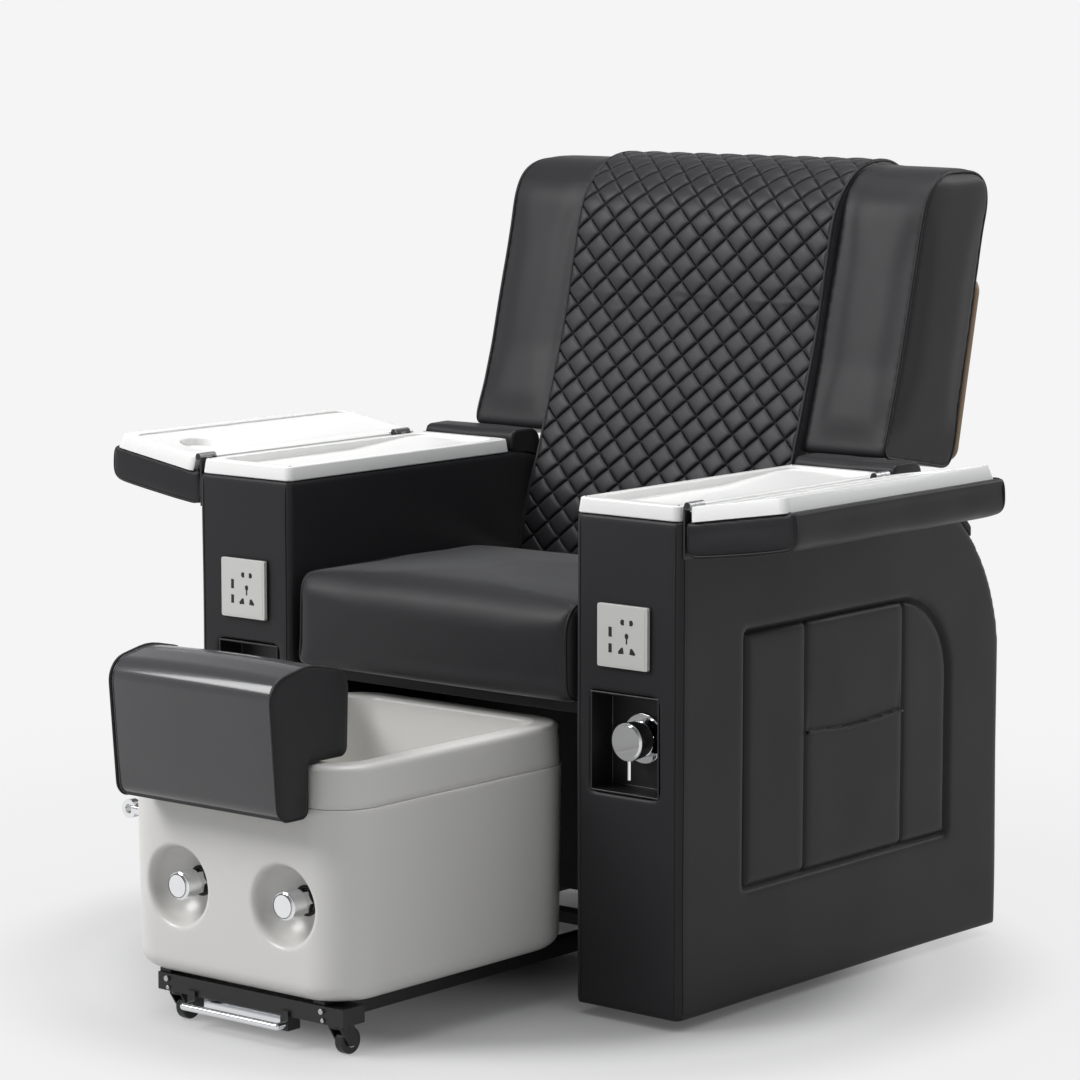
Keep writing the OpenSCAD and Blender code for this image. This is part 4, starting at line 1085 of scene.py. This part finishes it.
def basin_shell():
    roll = 24.0
    levels = []
    for k in range(9):
        a = math.pi / 2 * k / 8
        levels.append((roll * (1 - math.sin(a)), BASIN_LOW + roll * (1 - math.cos(a))))
    low, high = KNOB_Z - PATCH_HALF, KNOB_Z + PATCH_HALF
    levels += [(0.0, z) for z in np.linspace(BASIN_LOW + roll, low, 6)[1:]]
    patch_level = len(levels) - 1
    levels += [(0.0, z) for z in np.linspace(low, high, PATCH_STEPS + 1)[1:]]
    levels += [(0.0, z) for z in np.linspace(high, RIM_LOW - 1.4, 12)[1:]]
    levels += [(0.4, RIM_LOW - 0.6), (1.4, RIM_LOW - 0.2), (6.0, RIM_LOW - 0.2)]
    rings = [shell_ring(*shell_size(z, inset), z) for inset, z in levels]
    n = len(rings[0])
    verts = [at(*p) for r in rings for p in r]
    starts = (0, PATCH_STEPS + 10)
    holes = {(j, i) for j in range(patch_level, patch_level + PATCH_STEPS)
             for c in starts for i in range(c, c + PATCH_STEPS)}
    faces = [(j * n + i, j * n + (i + 1) % n, (j + 1) * n + (i + 1) % n, (j + 1) * n + i)
             for j in range(len(rings) - 1) for i in range(n) if (j, i) not in holes]
    faces.append(tuple(reversed(range(n))))
    profile = DISH_LIP + [(DISH_R * math.cos(a), LIP_DEEP + (DISH_DEEP - LIP_DEEP) * math.sin(a))
                          for a in np.linspace(0, 1.5, 14)[1:]]
    for start, cx in zip(starts, (-KNOB_X, KNOB_X)):
        j0, j1, i0, i1 = patch_level, patch_level + PATCH_STEPS, start, start + PATCH_STEPS
        loop = [j0 * n + i for i in range(i0, i1)] + [j * n + i1 for j in range(j0, j1)]
        loop += [j1 * n + i for i in range(i1, i0, -1)] + [j * n + i0 for j in range(j1, j0, -1)]
        edge = [(verts[v].x * 1000, verts[v].z * 1000) for v in loop]
        before = loop
        for share, (radius, deep) in [(0.4, profile[0]), (0.75, profile[0])] + [(1.0, r) for r in profile]:
            ring_now = []
            for x, z in edge:
                a = math.atan2(z - KNOB_Z, x - cx)
                px = x + (cx + radius * math.cos(a) - x) * share
                pz = z + (KNOB_Z + radius * math.sin(a) - z) * share
                half, front, _, corner = shell_size(pz)
                ring_now.append(len(verts))
                verts.append(at(px, shell_front(px, half, front, corner) + deep * (share == 1.0), pz))
            m = len(loop)
            ahead = [(k + 1) % m for k in range(m)]
            faces += [(before[k], before[j], ring_now[j], ring_now[k]) for k, j in enumerate(ahead)]
            before = ring_now
        faces.append(tuple(before))
    shell = mesh_object("basin_shell_moulding", verts, faces)
    shade(shell, 60)
    finish_piece(shell, "basin", STONE)
    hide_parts("basin_shell")


def basin_tub():
    half, front, rear = BASIN_HALF - 2, BASIN_FRONT + 2, BASIN_REAR - 2
    corner = BASIN_CORNER - 2
    inner = (170.0, BASIN_FRONT + 38, BASIN_REAR - 38, 42.0)
    rings = [ring(half - 5, front + 5, rear - 5, corner - 5, RIM_LOW + 0.3),
             ring(half - 0.8, front + 0.8, rear - 0.8, corner - 0.8, RIM_LOW + 0.3),
             ring(half, front, rear, corner, RIM_LOW + 1.4)]
    for k in range(1, 7):
        lean = 1.6 * k / 6
        rings.append(ring(half - lean, front + lean, rear - lean, corner, RIM_LOW + 1.4 + 46 * k / 6))
    for k in range(1, 8):
        a = math.pi / 2 * k / 7
        i = 1.6 + 9.5 * (1 - math.cos(a))
        z = RIM_TOP - 9.6 + 9.5 * math.sin(a)
        rings.append(ring(half - i, front + i, rear - i, corner - i * 0.7, z))
    for k in range(0, 7):
        a = math.pi / 2 * k / 6
        o = 8.0 * (1 - math.sin(a))
        z = RIM_TOP - 8.0 * (1 - math.cos(a))
        rings.append(ring(inner[0] + o, inner[1] - o, inner[2] + o, inner[3] + o, z))

    def wall(z):
        """Half width, front and rear of the tub inside at a height; the front steps back low down."""
        t = (RIM_TOP - z) / (RIM_TOP - 125.0)
        step = smoothstep((292.0 - z) / 44.0)
        front_in = inner[1] + 7 * min(1.0, (RIM_TOP - z) / 100) + 40.0 * step
        return inner[0] - 16.0 * t, front_in, inner[2] - 10.0 * t
    floor_roll, roll_top = 27.0, 153.0
    for z in np.linspace(RIM_TOP - 11, roll_top, 34):
        h, f, r = wall(z)
        rings.append(ring(h, f, r, inner[3], z))
    for k in range(1, 8):
        a = math.pi / 2 * k / 7
        z = roll_top - floor_roll * math.sin(a)
        h, f, r = wall(z)
        i = floor_roll * (1 - math.cos(a))
        rings.append(ring(h - i, f + i, r - i, max(18.0, inner[3] - i * 0.6), z + 0.2))
    tub = outward(loft("basin_tub_moulding", rings))
    shade(tub, 60)
    finish_piece(tub, "basin", STONE)
    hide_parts("basin_tub")


CHROME = metal("chrome", (0.86, 0.87, 0.89), 0.07)
basin_shell()
basin_tub()
bevelled("basin_drain", "basin_drain_strainer", 0.0006, CHROME, "basin")

# ---- Valve knobs and their seats ----
# Chromed caps on spindles, each before a hex nut and a rubber gasket that clamp the valve in the
# shell. A thin black ring on each cap's face is the painted shade of a turned groove. The hose ring
# is screwed to the shell's front corner.
bevelled("valve_seats", "valve_seat_nuts", 0.0012, CHROME, "basin")
def upright_circle(x, y, z, radius, count=48):
    """Points of a circle that faces forwards, in metres."""
    turns = [2 * math.pi * k / count for k in range(count)]
    return [(x + radius * math.cos(a), y, z + radius * math.sin(a)) for a in turns]


GASKET_R = 18.5
# Black rubber for the feet and gaskets; the same black is also the painted shade of the knobs' grooves.
RUBBER_AND_GROOVE_SHADE = moulding("rubber", (0.01, 0.01, 0.011), 0.65, 0.0, wave=0.2)
for word in ("left", "right"):
    bevelled(word + "_knob", word + "_knob_cap", 0.0016, CHROME, word + "_valve", 4)
    low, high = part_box(word + "_knob")
    cx, cz, face_r = (low[0] + high[0]) / 2, (low[2] + high[2]) / 2, (high[0] - low[0]) / 2
    circle = upright_circle(cx, low[1] + 0.0001, cz, face_r * 0.82)
    # A thin black ring on the cap's face: painted shade standing for its turned groove.
    groove = tube(word + "_knob_groove_shade", circle, 0.45 * MM, closed=True, sides=6)
    finish_piece(groove, word + "_valve", RUBBER_AND_GROOVE_SHADE)
gaskets = []
for cx in (-KNOB_X, KNOB_X):
    middle = at(cx, BASIN_FRONT + DISH_DEEP - 2.2, KNOB_Z)
    gaskets.append(tube("g", upright_circle(*middle, GASKET_R * MM), 3.2 * MM, closed=True))
gasket_rings = joined("valve_gaskets", gaskets)
finish_piece(gasket_rings, "basin", RUBBER_AND_GROOVE_SHADE)
shade(gasket_rings)
bevelled("shower_holder", "hose_ring", 0.0018, CHROME, "basin", 4)

# ---- Footrest cushion ----
# A foam roll in dark vinyl with a clear glossy cover over its front and top, welted at the end
# caps. A plate in its underside hooks it over the basin's front rim.
FILM = vinyl("film_vinyl", (0.042, 0.042, 0.045), (0.052, 0.052, 0.056), 0.2, 0.26, 0.03, 0.6)
BLACK = moulding("black_plastic", (0.0045, 0.0045, 0.005), 0.42, 0.0, wave=0.08)
PILLOW_HALF = 149.0
PILLOW = [(-465, 322, 22), (-480, 508, 34), (-404, 524, 90), (-329, 508, 32), (-333, 394.8, 12),
          (-407.5, 394.8, 3), (-408, 322, 12)]
COVER_EDGE = 142.5


def footrest():
    outline = np.array(resample(rounded(PILLOW), 3.2, closed=True))
    n = len(outline)
    along = np.roll(outline, -1, axis=0) - np.roll(outline, 1, axis=0)
    along /= np.linalg.norm(along, axis=1)[:, None]
    inward = np.stack([-along[:, 1], along[:, 0]], axis=1)
    middle = outline.mean(axis=0)
    if ((middle - outline) * inward).sum() < 0:
        inward = -inward
    under = smoothstep((outline[:, 1] - 396) / 24) * smoothstep((-334 - outline[:, 0]) / 20)
    front = smoothstep((-452 - outline[:, 0]) / 12) * smoothstep((outline[:, 1] - 325) / 60)
    soft = np.maximum(under, front)
    stations = list(np.linspace(-COVER_EDGE, COVER_EDGE, 72))
    rows = []
    for x in stations:
        crown = 4.0 * (1 - (x / PILLOW_HALF) ** 2) ** 0.8
        rows.append((x, outline - inward * (crown * soft)[:, None] + inward * 2.6 * (soft > 0)[:, None]))
    caps = [(-4.5, 2.2), (-2.0, 1.6), (-0.4, 3.4), (0.8, 7.5)]
    right = [(PILLOW_HALF + out, outline + inward * inset) for out, inset in caps]
    for share, x in ((0.72, 150.6), (0.45, 151.4), (0.18, 151.8)):
        right.append((x, middle + (outline + inward * 7.5 - middle) * share))
    rows = [(-x, ring_) for x, ring_ in reversed(right)] + rows + right
    verts = [at(x, y, z) for x, ring_ in rows for y, z in ring_]
    faces = [(j * n + i, j * n + (i + 1) % n, (j + 1) * n + (i + 1) % n, (j + 1) * n + i)
             for j in range(len(rows) - 1) for i in range(n)]
    faces += [tuple(range(n)), tuple(range((len(rows) - 1) * n, len(rows) * n))]
    body = outward(mesh_object("footrest_cushion_skin", verts, faces))
    shade(body, 60)
    finish_piece(body, "footrest", CHARCOAL)
    body.data.materials.append(FILM)
    for face in body.data.polygons:
        c = face.center
        high = c.z > 0.4 or (c.z > 0.33 and c.y < -0.44 - DEPTH_SHIFT)
        rear = c.z < 0.47 and c.y > -0.34 - DEPTH_SHIFT
        if high and not rear and abs(c.x) < COVER_EDGE * MM:
            face.material_index = 1
    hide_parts("footrest_pillow")
    welts = []
    for x in (-PILLOW_HALF + 2.6, PILLOW_HALF - 2.6):
        welts.append(tube("w", [at(x, y, z) for y, z in outline + inward * 1.4], 2.3 * MM, closed=True))
    edges = []
    for x in (-COVER_EDGE, COVER_EDGE):
        path = [at(x, y, z) for (y, z), f in zip(outline + inward * 1.9, soft) if f > 0]
        gap = max(range(len(path)), key=lambda k: (path[k] - path[k - 1]).length)
        edges.append(tube("w", path[gap:] + path[:gap], 1.1 * MM, sides=6))
    edge = joined("footrest_cover_edges", edges)
    finish_piece(edge, "footrest", FILM)
    shade(edge)
    welt = joined("footrest_welts", welts)
    shade(welt)
    finish_piece(welt, "footrest", WELT)


footrest()
bevelled("footrest_hook", "footrest_hook_plate", 0.0008, BLACK, "footrest")

# ---- Carriage ----
# A welded, powder-coated steel frame under the basin, with bolts, a chromed pull bar and plate,
# and two casters whose wheels have pale hub discs.
COATED = metal("black_powder_coat", (0.006, 0.006, 0.0065), 0.42, 0.0, 0.0)
bevelled("carriage_frame", "carriage_weldment", 0.0012, COATED, "basin")
bevelled("carriage_bolts", "carriage_bolt_heads", 0.0008, STEEL, "basin")
bevelled("pull_bar", "pull_bar_chrome", 0.0006, CHROME, "basin")
for word, tag in (("left", "fl"), ("right", "fr")):
    bevelled("caster_fork_" + tag, word + "_caster_fork", 0.0006, COATED, "caster_" + word)
    bevelled("caster_wheel_" + tag, word + "_caster_wheel", 0.003, BLACK,
             "wheel_" + word, 4)


HUB_R = 8.5


def caster_hubs():
    """Pale hub discs on both faces of each caster wheel."""
    sideways = Matrix.Rotation(math.pi / 2, 4, "Y")
    for middle, word in ((-125, "left"), (168, "right")):
        bm = bmesh.new()
        for face in (-1, 1):
            place = Matrix.Translation(at(middle + face * 8.1, -357, 18))
            bmesh.ops.create_cone(bm, cap_ends=True, segments=32, radius1=HUB_R * MM, radius2=HUB_R * MM,
                                  depth=0.9 * MM, matrix=place @ sideways)
        mesh = bpy.data.meshes.new("hub")
        bm.to_mesh(mesh)
        bm.free()
        hub = bpy.data.objects.new(word + "_caster_hub", mesh)
        bpy.context.scene.collection.objects.link(hub)
        shade(hub, 30)
        finish_piece(hub, "wheel_" + word, STEEL)


caster_hubs()

# ---- Sockets, niches and mixer ----
# Moulded socket plates, clipped to boxes in the armrests. Flat black shapes stand proud of each
# plate where its holes are: the dark shutters behind, with the shade inside each hole painted in.
# A black square behind each plate is a painted shadow line round it. Below each is a moulded
# niche, and in the right one a chromed single-lever tap.
PLATE = moulding("socket_white", (0.56, 0.56, 0.54), 0.34, 0.0)
# Black for the socket holes and the line round each plate: painted shade inside the holes, over dark
# shutters, and a painted shadow round the plate.
HOLE_AND_SHADOW_BLACK = moulding("socket_hole_and_shadow_black", (0.002, 0.002, 0.002), 0.6, 0.0)
CONTACTS = [                       # dark mouths of the plate, across and up from its middle, in mm
    [(-22.8, 12.4), (-17.2, 12.4), (-17.2, -1.1), (-22.8, -1.1)],
    [(-22.8, -10.2), (-17.2, -10.2), (-17.2, -22.6), (-22.8, -22.6)],
    [(-2.6, 21.5), (-0.6, 24.2), (3.6, 23.6), (3.6, 16.6), (-0.4, 16.2), (-2.6, 18.6)],
    [(19.0, 21.5), (17.0, 24.2), (12.8, 23.6), (12.8, 16.6), (16.8, 16.2), (19.0, 18.6)],
    [(5.0, 3.4), (6.6, 5.6), (9.6, 5.6), (11.2, 3.4), (11.2, 0.4), (9.4, -2.2), (9.4, -9.0), (6.8, -9.0),
     (6.8, -2.2), (5.0, 0.4)],
    [(-6.6, -20.4), (-1.2, -14.0), (2.0, -14.6), (3.4, -22.4), (-5.8, -23.2)],
    [(23.0, -20.4), (17.6, -14.0), (14.4, -14.6), (13.0, -22.4), (22.2, -23.2)]]
SOCKET_X, SOCKET_Z = 351.0, 532.0


def flat_piece(name, outlines, y, middle, thick=0.15):
    """Thin flat shapes that stand proud of a face, with square edges."""
    verts, faces = [], []
    for outline in outlines:
        n, first = len(outline), len(verts)
        for back in (0.0, thick):          # the front corners, then the rear ones
            verts += [at(middle + x, y + back, SOCKET_Z + z) for x, z in outline]
        faces.append(tuple(range(first, first + n)))
        ahead = [(k + 1) % n for k in range(n)]
        faces += [(first + k, first + j, first + n + j, first + n + k) for k, j in enumerate(ahead)]
    return mesh_object(name, verts, faces)


def square(half):
    return [[(-half, -half), (half, -half), (half, half), (-half, half)]]


def sockets():
    for side, word in ((-1, "left"), (1, "right")):
        bevelled(word + "_outlet", word + "_socket_plate", 0.0009, PLATE, "chair")
        face = (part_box(word + "_outlet")[0][1] + DEPTH_SHIFT) * 1000
        middle = side * SOCKET_X
        for piece, material in (
                (flat_piece(word + "_socket_face", square(39.0), face - 0.35, middle, 0.5), PLATE),
                # Black shapes over the holes: the dark shutters, with the shade inside each hole painted
                # in.
                (flat_piece(word + "_socket_shutters_and_hole_shade", CONTACTS, face - 0.5, middle, 0.3), HOLE_AND_SHADOW_BLACK),
                # A black square a little larger than the plate, behind it: a painted shadow line round its
                # edge.
                (flat_piece(word + "_socket_painted_shadow_line", square(44.3), -1.7, middle), HOLE_AND_SHADOW_BLACK)):
            finish_piece(piece, "chair", material)


sockets()
for word in ("left", "right"):
    bevelled(word + "_niche", word + "_niche_moulding", 0.003, BLACK, "chair", 4)
bevelled("mixer_escutcheon", "mixer_flange", 0.0018, CHROME, "chair", 4)
bevelled("mixer_stem", "mixer_neck", 0.0004, CHROME, "mixer_turn")
bevelled("mixer_cap", "mixer_head", 0.0014, CHROME, "mixer_lever", 4)
bevelled("mixer_pin", "mixer_lever_pin", 0.001, CHROME, "mixer_lever", 4)

# ---- Frame, base and works ----
# Powder-coated steel tube and plate, zinc-plated hinges and bolts, a bare plywood board behind the
# massage units, and the linear actuator that leans the back.
def plywood_material():
    mat, tree, shader = new_material("plywood")
    coords = object_coords(tree)
    rings = tree.nodes.new("ShaderNodeTexWave")
    rings.inputs["Scale"].default_value = 14.0
    rings.inputs["Distortion"].default_value = 6.0
    rings.inputs["Detail"].default_value = 3.0
    tree.links.new(coords, rings.inputs["Vector"])
    tone = tree.nodes.new("ShaderNodeMix")
    tone.data_type = "RGBA"
    tone.inputs["A"].default_value = (0.42, 0.27, 0.14, 1)
    tone.inputs["B"].default_value = (0.6, 0.43, 0.25, 1)
    tree.links.new(rings.outputs["Fac"], tone.inputs["Factor"])
    tree.links.new(tone.outputs["Result"], shader.inputs["Base Color"])
    shader.inputs["Roughness"].default_value = 0.7
    return mat


PLY = plywood_material()
for node, width, material, slot_name, body in (
        ("base_frame", 0.0015, COATED, "black_steel", "chair"),
        ("feet", 0.0012, RUBBER_AND_GROOVE_SHADE, "rubber", "chair"),
        ("flap_hinges", 0.0004, STEEL, "bright_steel", "chair"),
        ("seat_rails", 0.0008, COATED, "black_steel", "chair"),
        # The seat deck takes the charcoal vinyl to look black: its dark is painted shade under the cushion.
        ("seat_deck", 0.002, CHARCOAL, "charcoal_vinyl", "chair"),
        ("bulkhead", 0.001, COATED, "black_steel", "chair"),
        ("back_brackets", 0.001, COATED, "black_steel", "chair"),
        ("back_pivot_bolts", 0.0012, STEEL, "bright_steel", "chair"),
        ("guide_channels", 0.0005, COATED, "black_steel", "chair"),
        ("actuator_pin", 0.0006, STEEL, "bright_steel", "chair"),
        ("actuator_housing", 0.0012, BLACK, "black_plastic", "actuator"),
        ("actuator_motor", 0.0015, BLACK, "black_plastic", "actuator"),
        ("actuator_rod", 0.0008, STEEL, "bright_steel", "actuator_ram"),
        ("back_frame", 0.001, COATED, "black_steel", "backrest"),
        ("back_board", 0.0008, PLY, "plywood", "backrest"),
        ("massage_units", 0.002, BLACK, "black_plastic", "backrest"),
        ("left_flap_leaf", 0.0004, STEEL, "bright_steel", "left_flap"),
        ("right_flap_leaf", 0.0004, STEEL, "bright_steel", "right_flap")):
    part = bevelled(node, node + "_part", width, material, body, 2)
    if node in ("flap_hinges", "left_flap_leaf", "right_flap_leaf"):
        part.data.materials.append(COATED)
        for face in part.data.polygons:
            face.material_index = int(min(part.data.vertices[v].co.z for v in face.vertices) < 0.69)


# ---- Lower rear panel ----
# A board panel padded and wrapped as the armrests are, screwed between them at the rear.
def rear_panel():
    """The lower rear panel, padded and wrapped as the armrests are."""
    panel = remeshed("rear_panel", "rear_panel_skin", 0.005, 4)
    shade(panel)
    ripple(panel, 0.2, 0.001, 55.0)
    finish_piece(panel, "chair", CHARCOAL)
    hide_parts("rear_panel")


rear_panel()
